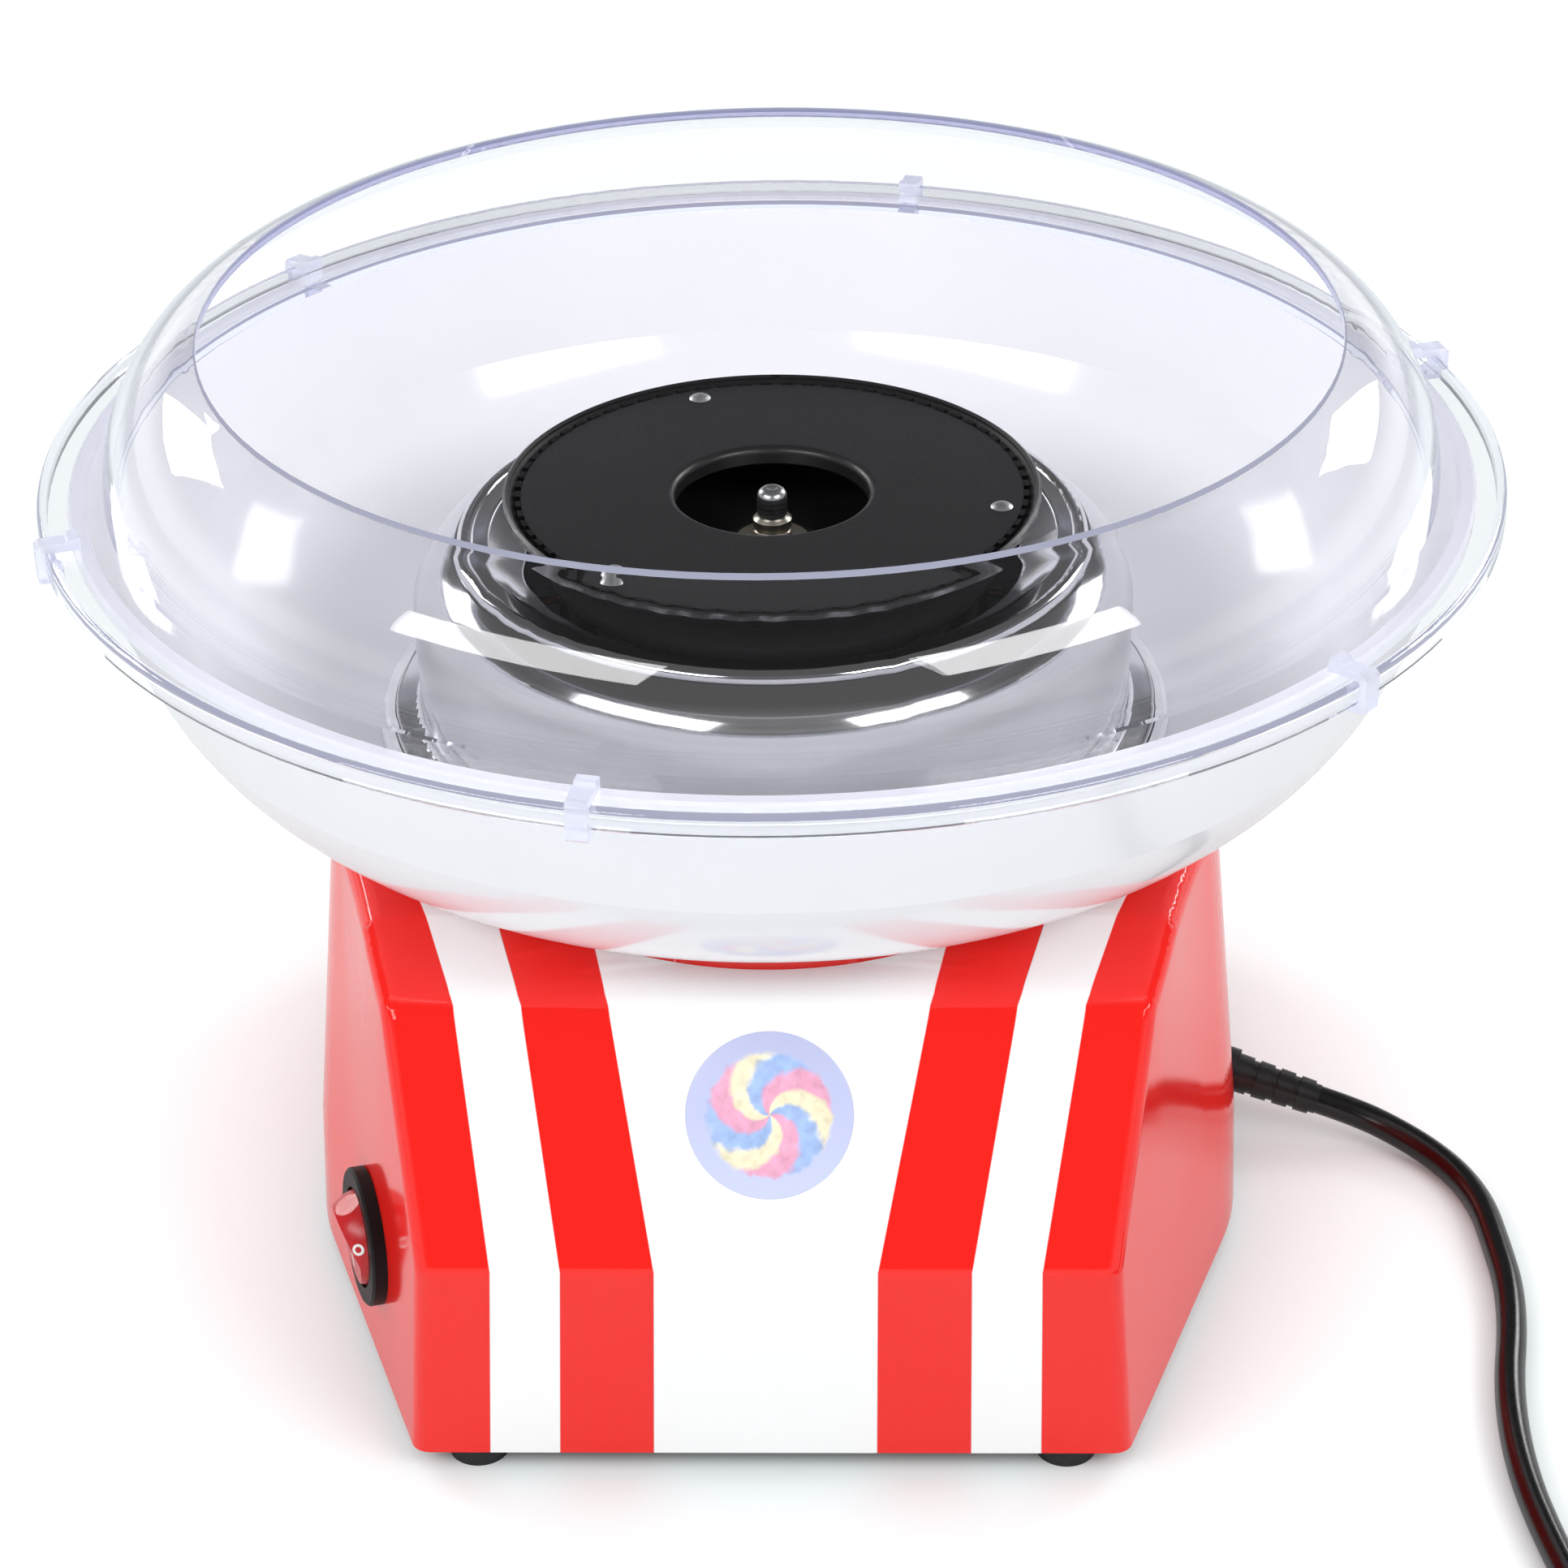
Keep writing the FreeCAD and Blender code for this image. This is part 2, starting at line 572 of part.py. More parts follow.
def motor_dampers():
    """Rubber rings between bracket and bosses."""
    top = BRACKET_TOP_Z + DAMPER_THICKNESS
    return [tube(BOSS_RADIUS + 0.5, SCREW_RADIUS + 0.1, BRACKET_TOP_Z, top, x, y)
            for x, y in bracket_points()]


def bracket_screws():
    """Screws up through bracket and dampers into the deck's bosses."""
    return [pan_screw(x, y, MOTOR_TOP_Z, 8.0) for x, y in bracket_points()]


# ---- Heater ----
def heater_leads():
    """Where the heating element's two legs pass through the deck."""
    turn = math.radians(HEATER_GAP_ANGLE / 2)
    x = HEATER_RING_RADIUS * math.sin(turn)
    y = HEATER_RING_RADIUS * math.cos(turn)
    return [(-x, y), (x, y)]


def heater_pan():
    """Shallow aluminium pan on the deck, pierced for shaft and leads."""
    rim = PAN_RADIUS
    inner = rim - PAN_SHEET
    top = SEAT_Z + PAN_DEPTH
    pan = turned((SHAFT_HOLE_RADIUS, SEAT_Z), (rim, SEAT_Z), (rim, top), (inner, top),
                 (inner, SEAT_Z + PAN_SHEET), (SHAFT_HOLE_RADIUS, SEAT_Z + PAN_SHEET))
    tools = [disc(HEATER_TUBE_RADIUS + 1.0, SEAT_Z - 1, SEAT_Z + PAN_SHEET + 1, x, y)
             for x, y in heater_leads()]
    return cut_all(pan, tools)


def heating_element():
    """Tubular ring with both ends turned down through the deck."""
    section = Part.Wire(Part.Circle(Vector(0, HEATER_RING_RADIUS, HEATER_Z), Vector(1, 0, 0),
                                    HEATER_TUBE_RADIUS).toShape())
    ring = Part.Face(section).revolve(ORIGIN, AXIS, 360.0 - HEATER_GAP_ANGLE)
    ring.rotate(ORIGIN, AXIS, HEATER_GAP_ANGLE / 2)
    for x, y in heater_leads():
        leg = disc(HEATER_TUBE_RADIUS, SEAT_Z - 10.0, HEATER_Z, x, y)
        elbow = Part.makeSphere(HEATER_TUBE_RADIUS, Vector(x, y, HEATER_Z))
        ring = ring.fuse(leg).fuse(elbow)
    return ring.removeSplitter()


def heater_posts():
    """Ceramic posts with a saddle for the element."""
    bottom = SEAT_Z + PAN_SHEET
    post = disc(POST_RADIUS, bottom, HEATER_Z - 1.5, 0.0, -HEATER_RING_RADIUS)
    saddle = Part.makeTorus(HEATER_RING_RADIUS, HEATER_TUBE_RADIUS + 0.1, Vector(0, 0, HEATER_Z))
    return around(post.cut(saddle), 3)


def thermal_cutoff():
    """Round thermostat on the pan's floor, with a stepped cap."""
    bottom = SEAT_Z + PAN_SHEET
    x = -(PAN_RADIUS - 15.0)
    body = disc(7.0, bottom, bottom + 4.0, x)
    return body.fuse(disc(5.0, bottom + 4.0, bottom + 7.0, x)).removeSplitter()


# ---- Shroud ----
def shroud():
    """Spun steel shroud: flange, straight wall, round shoulder, beaded ring and a sunk funnel."""
    wall = SHROUD_WALL
    foot = SPIGOT_Z
    top = SHROUD_TOP_Z
    radius = SHROUD_RADIUS
    mouth = SHROUD_MOUTH_RADIUS
    land = top - SHROUD_STEP
    lip = mouth - SHROUD_FUNNEL_WIDTH
    lip_top = top - SHROUD_FUNNEL_DROP
    lip_foot = lip_top - SHROUD_LIP
    body = turned(
        (SPIGOT_RADIUS, foot), (SPIGOT_RADIUS, foot + wall), (radius + 1.4, foot + wall),
        ((radius + 0.4, foot + wall + 0.4), (radius, foot + wall + 1.4)),
        (radius, top - 15.5),
        ((radius - 2.34, top - 7.67), (radius - 8.6, top - 2.4)),
        (radius - 9.2, top - 2.2),
        ((radius - 9.8, top - 0.5), (radius - 11.0, top)),
        ((radius - 11.9, top - 0.2), (radius - 12.5, land)),
        (mouth + 0.7, land),
        ((mouth + 0.2, land - 0.2), (mouth, land - 0.8)),
        ((mouth - 4.3, top - 4.0), (lip + 0.9, lip_top + 0.3)),
        ((lip + 0.25, lip_top - 0.1), (lip, lip_top - 0.7)),
        (lip, lip_foot), (lip + wall, lip_foot), (lip + wall, lip_top - 0.8),
        ((mouth - 3.8, top - 5.1), (mouth + 0.7, land - 1.7)),
        (mouth + 1.3, land - wall), (radius - 12.1, land - wall),
        ((radius - 11.6, top - 1.2), (radius - 11.0, top - wall)),
        ((radius - 10.5, top - 1.4), (radius - 10.2, top - 3.0)),
        (radius - 8.9, top - 3.4),
        ((radius - 3.2, top - 8.1), (radius - wall, top - 15.5)),
        (radius - wall, foot))
    hole = disc(SHROUD_SCREW_RADIUS + 0.1, foot - 1, foot + wall + 1, SHROUD_SCREW_CIRCLE)
    return cut_all(body, around(hole, SHROUD_SCREW_COUNT, 30.0))


def shroud_screws():
    """Small screws down through the shroud's flange."""
    seat = SPIGOT_Z + SHROUD_WALL
    shank = disc(SHROUD_SCREW_RADIUS, SPIGOT_Z - 5.0, seat, SHROUD_SCREW_CIRCLE)
    head = disc(SHROUD_SCREW_RADIUS + 0.6, seat, seat + 1.2, SHROUD_SCREW_CIRCLE)
    return around(shank.fuse(head).removeSplitter(), SHROUD_SCREW_COUNT, 30.0)


# ---- Spinning head ----
def head_dish():
    """Black dish: raised centre under the hub, flat floor, steep wall, wide flare and thin rim."""
    sheet = HEAD_SHEET
    floor = HEAD_FLOOR_Z
    top = HEAD_TOP_Z
    hole = HUB_SLEEVE_RADIUS + 0.05
    radius = HEAD_RADIUS
    bend = radius - HEAD_FLARE_WIDTH
    bend_z = top - HEAD_RIM_HEIGHT - HEAD_FLARE_DROP
    body = turned(
        (hole, HUB_SEAT_Z - sheet), (hole, HUB_SEAT_Z), (HUB_FLANGE_RADIUS + 2.0, HUB_SEAT_Z),
        (HUB_FLANGE_RADIUS + 6.0, floor + sheet), *dish_inside(),
        (radius - sheet, top - 0.4), (radius - 0.6, top), (radius, top - 0.4),
        (radius, top - HEAD_RIM_HEIGHT), (bend, bend_z),
        ((bend - 1.9, bend_z - 3.1), (bend - 2.4, bend_z - 6.6)),
        ((bend - 3.8, floor + 1.5), (bend - 7.0, floor)),
        (HUB_FLANGE_RADIUS + 5.5, floor), (HUB_FLANGE_RADIUS + 1.5, HUB_SEAT_Z - sheet))
    mark = Part.makeBox(1.6, 0.8, 0.8, Vector(-0.8, radius - sheet - 0.2, top - 0.8))
    return body.cut(mark)


def head_band():
    """Slotted band round the cover plate's edge, which the molten sugar is thrown through."""
    inner = HEAD_RADIUS - HEAD_CHANNEL + 0.05
    outer = inner + HEAD_BAND_WIDTH
    top = HEAD_TOP_Z - HEAD_BAND_DROP
    band = tube(outer, inner, HEAD_FLOOR_Z, top).cut(dish_solid())
    slot_width = 0.4 * 2 * math.pi * outer / HEAD_BAND_SLOTS
    slot = Part.makeBox(HEAD_BAND_WIDTH + 2, slot_width, HEAD_BAND_SLOT_DEPTH + 1.0,
                        Vector(inner - 1, -slot_width / 2, top - HEAD_BAND_SLOT_DEPTH))
    return cut_all(band, around(slot, HEAD_BAND_SLOTS))


def dish_inside():
    """The inner side of the dish, from the edge of its flat floor to its rim."""
    sheet = HEAD_SHEET
    radius = HEAD_RADIUS
    floor = HEAD_FLOOR_Z + sheet
    slope = HEAD_FLARE_DROP / HEAD_FLARE_WIDTH
    rise = sheet * math.sqrt(1.0 + slope ** 2)
    bend = radius - HEAD_FLARE_WIDTH
    bend_z = HEAD_TOP_Z - HEAD_RIM_HEIGHT - HEAD_FLARE_DROP
    flare = bend - 0.7
    return [(bend - 7.2, floor),
            ((bend - 4.7, floor + 1.4), (bend - 3.6, bend_z - 6.6)),
            ((bend - 3.0, bend_z - 2.8), (flare, bend_z - 0.7 * slope + rise)),
            (radius - sheet, HEAD_TOP_Z - HEAD_RIM_HEIGHT - sheet * slope + rise)]


def head_plate():
    """Black cover plate: a flat face with a rolled feed hole."""
    outer = HEAD_RADIUS - HEAD_CHANNEL
    top = HEAD_PLATE_Z
    sheet = HEAD_SHEET
    hole = HEAD_HOLE_RADIUS
    foot = top - HEAD_HOLE_ROLL
    body = turned(
        (hole, foot), (hole, top - 1.4), ((hole + 0.5, top - 0.4), (hole + 1.7, top)),
        (outer, top), (outer, top - sheet), (hole + 2.0, top - sheet),
        ((hole + sheet + 0.2, top - sheet - 0.3), (hole + sheet, top - 2.4)),
        (hole + sheet, foot))
    return cut_all(body, [disc(RIVET_RADIUS, top - 3, top + 1, x, y) for x, y in rivet_points()])


def rivet_points():
    """Where the rivets stand."""
    points = []
    for index in range(3):
        angle = math.radians(RIVET_FIRST_ANGLE + 120.0 * index)
        circle = HEAD_RADIUS - RIVET_INSET
        points.append((circle * math.cos(angle), circle * math.sin(angle)))
    return points


def head_rivets():
    """Domed rivets, each with a spacer that stands on the dish's flared wall."""
    top = HEAD_PLATE_Z
    spacer_top = top - HEAD_SHEET
    below = dish_solid()
    rivets = []
    for x, y in rivet_points():
        spacer = disc(RIVET_RADIUS + 0.6, HEAD_FLOOR_Z, spacer_top, x, y)
        shank = disc(RIVET_RADIUS, spacer_top, top, x, y)
        ball = Part.makeSphere(RIVET_HEAD_RADIUS, Vector(x, y, top + 0.9 - RIVET_HEAD_RADIUS))
        head = ball.common(disc(RIVET_HEAD_RADIUS, top, top + 2.0, x, y))
        rivet = spacer.fuse(shank).fuse(head).removeSplitter()
        rivets.append(rivet.cut(below))
    return rivets


def dish_solid():
    """All that lies under the dish's inner side, which the spacers are cut to."""
    outside = HEAD_RADIUS + 5.0
    below = HEAD_FLOOR_Z - 5.0
    inside = dish_inside()
    return turned((0.0, below), (0.0, HEAD_FLOOR_Z + HEAD_SHEET), *inside,
                  (outside, inside[-1][1]), (outside, below))


def hub():
    """Nickelled hub: sleeve, flange and grooved collar, bored for the shaft, slotted for its pin."""
    bore = SHAFT_RADIUS + RUNNING_CLEARANCE
    flange_top = HUB_SEAT_Z + HUB_FLANGE_THICKNESS
    collar = HUB_COLLAR_RADIUS
    collar_top = flange_top + HUB_COLLAR_HEIGHT
    body = turned(
        (bore, HUB_BOTTOM_Z), (HUB_SLEEVE_RADIUS, HUB_BOTTOM_Z), (HUB_SLEEVE_RADIUS, HUB_SEAT_Z),
        (HUB_FLANGE_RADIUS, HUB_SEAT_Z), (HUB_FLANGE_RADIUS, flange_top - 0.3),
        (HUB_FLANGE_RADIUS - 0.3, flange_top), (collar, flange_top),
        (collar, flange_top + 1.8), (collar - 0.3, flange_top + 2.1),
        (collar - 0.3, flange_top + 2.6), (collar, flange_top + 2.9),
        (collar, collar_top - 0.6), (collar - 0.6, collar_top), (bore, collar_top))
    width = 2 * DRIVE_PIN_RADIUS + PIN_SLOT_PLAY
    slot = Part.makeBox(4 * HUB_SLEEVE_RADIUS, width, width + 1.0,
                        Vector(-2 * HUB_SLEEVE_RADIUS, -width / 2, HUB_BOTTOM_Z - 1.0))
    return body.cut(slot)


def shaft():
    """Motor shaft with a domed tip and a cross hole for the drive pin."""
    radius = SHAFT_RADIUS
    bottom = MOTOR_BOTTOM_Z - 2.0
    top = SHAFT_TOP_Z
    body = turned(
        (0.0, bottom), (radius, bottom), (radius, top - 1.7),
        ((radius - 0.55, top - 0.55), (radius - 1.7, top)), (0.0, top - 0.35))
    return body.cut(drive_pin())


def drive_pin():
    """The cross pin that carries the hub round."""
    base = Vector(-DRIVE_PIN_LENGTH / 2, 0, HUB_BOTTOM_Z + DRIVE_PIN_RADIUS)
    return Part.makeCylinder(DRIVE_PIN_RADIUS, DRIVE_PIN_LENGTH, base, Vector(1, 0, 0))


# ---- Bowl ----
def bowl():
    """Round bowl with a turned rim and a collar that drops over the spigot."""
    rim = BOWL_RIM_RADIUS
    top = BOWL_RIM_Z
    wall = BOWL_WALL
    floor = BOWL_Z
    hole = SPIGOT_RADIUS + BOWL_COLLAR_CLEARANCE
    knee_radius = rim - BOWL_KNEE_INSET
    flare = knee_radius + 4.6
    belly = belly_radius()
    centre = (SEAT_RADIUS - BOWL_FLOOR_INSET, floor + belly)
    inner = belly - wall
    seat_edge = SEAT_RADIUS - 0.3

    def on_arc(radius, degrees):
        """A point of the belly, or of its inner side, by its angle from straight down."""
        angle = math.radians(degrees)
        return (centre[0] + radius * math.sin(angle), centre[1] - radius * math.cos(angle))

    knee_angle = math.degrees(math.acos((belly - BOWL_KNEE_HEIGHT) / belly))
    seat_angle = math.degrees(math.asin((seat_edge - centre[0]) / belly))
    hole_angle = math.degrees(math.asin((hole + wall - centre[0]) / inner))
    collar_top = floor + BOWL_COLLAR_HEIGHT
    return turned(
        (hole, floor), (seat_edge, floor), on_arc(belly, seat_angle),
        (on_arc(belly, (seat_angle + knee_angle) / 2), on_arc(belly, knee_angle)),
        ((flare, top - 17.0), (rim - 1.6, top - 3.2)),
        (rim, top - 2.6), (rim, top - 0.6), (rim - 0.6, top), (rim - wall - 0.6, top),
        (rim - wall - 1.2, top - 0.6),
        ((flare - wall, top - 16.4), on_arc(inner, knee_angle)),
        (on_arc(inner, (hole_angle + knee_angle) / 2), on_arc(inner, hole_angle)),
        (hole + wall, collar_top - 0.8), (hole + wall - 0.8, collar_top), (hole, collar_top))


def belly_radius():
    """Radius of the bowl's belly arc, from its floor to its knee."""
    across = BOWL_RIM_RADIUS - BOWL_KNEE_INSET - (SEAT_RADIUS - BOWL_FLOOR_INSET)
    return (across ** 2 + BOWL_KNEE_HEIGHT ** 2) / (2 * BOWL_KNEE_HEIGHT)


# ---- Splash shield ----
def shield():
    """Clear shield: brim with a short skirt, and a dome that closes in to its mouth."""
    top = BRIM_TOP_Z
    wall = SHIELD_WALL
    edge = BRIM_RADIUS
    round_off = BRIM_EDGE_RADIUS
    skirt_bottom = top - BRIM_SKIRT
    outer = dome_curve(0.0)
    inner = dome_curve(wall)
    inner_root = Vector(SHIELD_ROOT_RADIUS - wall, 0, top)
    outer_root = Vector(SHIELD_ROOT_RADIUS, 0, top)
    points = [
        inner_root,
        Vector(SHIELD_ROOT_RADIUS - wall, 0, top - wall),
        Vector(edge - wall, 0, top - wall),
        Vector(edge - wall, 0, skirt_bottom),
        Vector(edge - 0.3, 0, skirt_bottom),
        Vector(edge, 0, skirt_bottom + 0.3),
        Vector(edge, 0, top - round_off),
    ]
    edges = [Part.LineSegment(a, b).toShape() for a, b in zip(points, points[1:])]
    bulge = round_off * (1.0 - math.sqrt(0.5))
    corner = Part.Arc(points[-1], Vector(edge - bulge, 0, top - bulge), Vector(edge - round_off, 0, top))
    edges.append(corner.toShape())
    edges.append(Part.LineSegment(Vector(edge - round_off, 0, top), outer_root).toShape())
    edges.append(outer.toShape())
    edges.append(Part.LineSegment(mouth_point(0.0), mouth_point(wall)).toShape())
    edges.append(inner.toShape())
    wire = Part.Wire(Part.__sortEdges__(edges))
    return Part.Face(wire).revolve(ORIGIN, AXIS, 360)


def dome_sizes(inset):
    """Reach, height and mouth of the dome's quarter ellipse, set in by a wall."""
    reach = SHIELD_CURVE_DEPTH
    mouth = SHIELD_CURVE_DEPTH - SHIELD_MOUTH_DEPTH
    height = SHIELD_HEIGHT / math.sqrt(1.0 - (mouth / reach) ** 2)
    return reach - inset, height - inset, mouth


def mouth_point(inset):
    """Where the dome's curve ends, at the mouth."""
    reach, height, mouth = dome_sizes(inset)
    crown = SHIELD_ROOT_RADIUS - SHIELD_CURVE_DEPTH
    return Vector(crown + mouth, 0, BRIM_TOP_Z + height * math.sqrt(1.0 - (mouth / reach) ** 2))


def dome_curve(inset):
    """The arc of the dome's ellipse from its root to its mouth, set in by a wall."""
    reach, height, mouth = dome_sizes(inset)
    centre = Vector(SHIELD_ROOT_RADIUS - SHIELD_CURVE_DEPTH, 0, BRIM_TOP_Z)
    root = centre + Vector(reach, 0, 0)
    crown = centre + Vector(0, 0, height)
    if height > reach:
        ellipse = Part.Ellipse(crown, root, centre)
    else:
        ellipse = Part.Ellipse(root, crown, centre)
    ends = sorted((ellipse.parameter(root), ellipse.parameter(mouth_point(inset))))
    if ends[1] - ends[0] > math.pi:
        ends = [ends[1], ends[0] + 2 * math.pi]
    return Part.ArcOfEllipse(ellipse, ends[0], ends[1])


def clip():
    """A clip over the brim: a pad on top, a bar down the skirt and a hook under it."""
    top = BRIM_TOP_Z
    edge = BRIM_RADIUS
    thick = CLIP_THICKNESS
    skirt_bottom = top - BRIM_SKIRT
    hook_z = skirt_bottom - CLIP_HOOK_DROP
    pad = edge - CLIP_PAD_INSET
    hook = edge - CLIP_HOOK_REACH
    points = [
        (pad, top), (pad, top + thick + 0.8), (pad + 2.2, top + thick + 0.8), (pad + 2.6, top + thick),
        (edge + thick - 0.8, top + thick), (edge + thick, top + thick - 0.8),
        (edge + thick, hook_z + 0.6), (edge + thick - 0.6, hook_z),
        (hook, hook_z), (hook, hook_z + 1.2), (edge - SHIELD_WALL - 0.3, skirt_bottom),
        (edge, skirt_bottom), (edge, top),
    ]
    wire = Part.makePolygon([Vector(x, -CLIP_WIDTH / 2, z) for x, z in points + points[:1]])
    bar = Part.Face(wire).extrude(Vector(0, CLIP_WIDTH, 0))
    return bar.cut(disc(edge, skirt_bottom, top))


# ---- Switch ----
def wall_frame(y, z):
    """Placement on the left wall at a height: Z outwards, Y up the wall, X along it."""
    x = -(FRONT_HALF_WIDTH + SIDE_SPLAY * (y - FRONT_Y) - SIDE_DRAFT * (z - FOOT_HEIGHT)
          * math.hypot(1.0, SIDE_SPLAY))
    outward = Vector(-1.0, -SIDE_SPLAY, 0.0).normalize()
    outward = (outward + Vector(0, 0, SIDE_DRAFT)).normalize()
    along = Vector(0, 0, 1).cross(outward).normalize()
    up = outward.cross(along)
    matrix = Matrix(along.x, up.x, outward.x, x,
                    along.y, up.y, outward.y, y,
                    along.z, up.z, outward.z, z,
                    0, 0, 0, 1)
    return Placement(matrix)


def switch_placed(solid):
    """Move a solid from the switch's own frame to the left wall."""
    moved = solid.copy()
    moved.Placement = wall_frame(SWITCH_Y, SWITCH_Z).multiply(moved.Placement)
    return moved


def switch_body():
    """Round rocker switch: chamfered bezel, barrel and a round well crossed by the pivot pin."""
    bezel = Part.makeCylinder(BEZEL_RADIUS, BEZEL_HEIGHT)
    bezel = bezel.makeChamfer(0.5, [e for e in bezel.Edges if e.BoundBox.ZMin > BEZEL_HEIGHT - 0.1])
    barrel = Part.makeCylinder(SWITCH_BODY_RADIUS, SWITCH_BODY_DEPTH, Vector(0, 0, -SWITCH_BODY_DEPTH))
    well = Part.makeCylinder(WELL_RADIUS, 30.0, Vector(0, 0, -ROCKER_WELL_DEPTH))
    pin = Part.makeCylinder(ROCKER_PIN_RADIUS, 2 * WELL_RADIUS + 2, Vector(-WELL_RADIUS - 1, 0, 0),
                            Vector(1, 0, 0))
    body = bezel.fuse(barrel).cut(well)
    return switch_placed(body.fuse(pin).removeSplitter())


def switch_tabs():
    """Two blade terminals behind the switch."""
    tabs = []
    for y in (-4.0, 4.0):
        tab = Part.makeBox(4.8, 0.8, 8.0, Vector(-2.4, y - 0.4, -SWITCH_BODY_DEPTH - 8.0))
        tabs.append(switch_placed(tab))
    return tabs


def rocker():
    """Round rocker whose face is a shallow V, at rest with its lower end pressed in."""
    bottom = -3.0
    reach = ROCKER_RADIUS
    points = [(-reach, bottom), (reach, bottom), (reach, 0.0), (ROCKER_END_Y, ROCKER_END_HEIGHT),
              (0.0, ROCKER_CROWN_HEIGHT), (-ROCKER_END_Y, ROCKER_END_HEIGHT), (-reach, 0.0)]
    wire = Part.makePolygon([Vector(-reach, y, z) for y, z in points + points[:1]])
    body = Part.Face(wire).extrude(Vector(2 * reach, 0, 0))
    body = body.common(Part.makeSphere(ROCKER_RADIUS))
    bore = Part.makeCylinder(ROCKER_PIN_RADIUS + RUNNING_CLEARANCE, 2 * reach + 2,
                             Vector(-reach - 1, 0, 0), Vector(1, 0, 0))
    body = body.cut(bore)
    body.rotate(ORIGIN, Vector(1, 0, 0), ROCKER_REST_TILT)
    return switch_placed(body)


# ---- Wiring parts ----
def terminal_block():
    """Three-way terminal block on the bottom plate."""
    corner = Vector(HOUSING_HALF_WIDTH - 52.5, 48.0, PLATE_TOP_Z)
    block = Part.makeBox(30.0, 12.0, 11.0, corner)
    wells = []
    for index in range(3):
        x = corner.x + 6.0 + 9.0 * index
        wells.append(disc(3.0, PLATE_TOP_Z + 6.0, PLATE_TOP_Z + 12.0, x, corner.y + 6.0))
    return cut_all(block, wells)


def rectifier_board():
    """Small circuit board on two pillars of its own."""
    corner = board_corner()
    board = Part.makeBox(44.0, 26.0, 1.6, corner)
    for x in (6.0, 38.0):
        board = board.fuse(disc(2.5, PLATE_TOP_Z, corner.z, corner.x + x, corner.y + 13.0))
    return board.removeSplitter()


def board_corner():
    """The low corner of the board."""
    return Vector(27.5 - HOUSING_HALF_WIDTH, 40.0, PLATE_TOP_Z + 5.0)


def rectifier_diodes():
    """Four diodes in a row on the board."""
    radius = 1.6
    corner = board_corner()
    diodes = []
    for index in range(4):
        base = corner + Vector(6.0 + 9.0 * index, 6.0, 1.6 + radius)
        diodes.append(Part.makeCylinder(radius, 9.0, base, Vector(0, 1, 0)))
    return diodes


# ---- Mains cord ----
def relief_placed(solid):
    """Move a solid so that its Z axis runs out along the cord's exit."""
    moved = solid.copy()
    moved.Placement = Placement(CORD_EXIT, Rotation(Vector(0, 0, 1), CORD_EXIT_DIRECTION))
    return moved


def strain_relief(shell):
    """Strain relief: inner flange, neck in the wall, ribbed taper; it seats on both faces."""
    cord = CORD_DIAMETER / 2
    neck = RELIEF_NECK_RADIUS
    inside = -HOUSING_WALL - 2.7
    collar_top = RELIEF_SEAT + 1.6
    points = [(0.0, inside - 1.0), (neck + 1.2, inside - 1.0), (neck + 1.2, inside + 2.5),
              (neck, inside + 2.5), (neck, 0.0), (neck + 0.9, 0.0), (neck + 0.9, collar_top)]
    pitch = (RELIEF_LENGTH - collar_top) / RELIEF_RIBS
    for rib in range(RELIEF_RIBS):
        start = collar_top + rib * pitch
        groove = start + 0.7 * pitch
        radius = neck + 0.2 - (neck - 0.5 - cord) * (rib + 0.5) / RELIEF_RIBS
        points += [(radius, start), (radius - 0.1, groove), (radius - 0.6, groove),
                   (radius - 0.6, start + pitch)]
    points.append((0.0, RELIEF_LENGTH))
    relief = relief_placed(turned(*points)).cut(shell)
    return max(relief.Solids, key=lambda solid: solid.Volume)


def cord_route():
    """The cord's points from the strain relief's tip to the coil, most of them on the table."""
    floor = CORD_DIAMETER / 2 + CORD_FLOOR_GAP
    direction = Vector(CORD_EXIT_DIRECTION).normalize()
    tip = CORD_EXIT + direction * RELIEF_LENGTH
    falling = [(134.3, -1.4, 1.5), (141.3, -7.9, 0.4)]
    lying = [(146.8, -16.5), (150.1, -27.5), (151.1, -40.5), (151.9, -55.0), (150.5, -70.4),
             (147.6, -86.2), (146.3, -102.1), (146.6, -117.6), (148.3, -131.5), (150.6, -144.3),
             (153.4, -156.5), (156.6, -168.0)]
    points = [tip, tip + direction * 8.8]
    points += [Vector(x, y, floor + lift) for x, y, lift in falling]
    return points + [Vector(x, y, floor) for x, y in lying]


def cord_tube(points, radius):
    """A tube along straight runs joined by the largest tangent arcs that fit."""
    edges = []
    at = points[0]
    length = 0.0
    for before, corner, after in zip(points, points[1:], points[2:]):
        arrive = (corner - before).normalize()
        leave = (after - corner).normalize()
        half_turn = arrive.getAngle(leave) / 2
        shorter = min((corner - before).Length, (after - corner).Length)
        bend = 0.45 * shorter / math.tan(half_turn)
        reach = 0.45 * shorter
        start = corner - arrive * reach
        end = corner + leave * reach
        middle = corner + (leave - arrive).normalize() * (bend / math.cos(half_turn) - bend)
        edges.append(Part.LineSegment(at, start).toShape())
        edges.append(Part.Arc(start, middle, end).toShape())
        print("cord bend radius %.1f mm, turn %.1f deg" % (bend, math.degrees(2 * half_turn)))
        length += edges[-1].Length + edges[-2].Length
        at = end
    edges.append(Part.LineSegment(at, points[-1]).toShape())
    length += edges[-1].Length
    path = Part.Wire(edges)
    section = Part.Wire(Part.Circle(points[0], points[1] - points[0], radius).toShape())
    solid = path.makePipeShell([section], True, False)
    expected = math.pi * radius ** 2 * length
    print("cord tube %.1f mm long, volume %.0f of %.0f" % (length, solid.Volume, expected))
    return solid


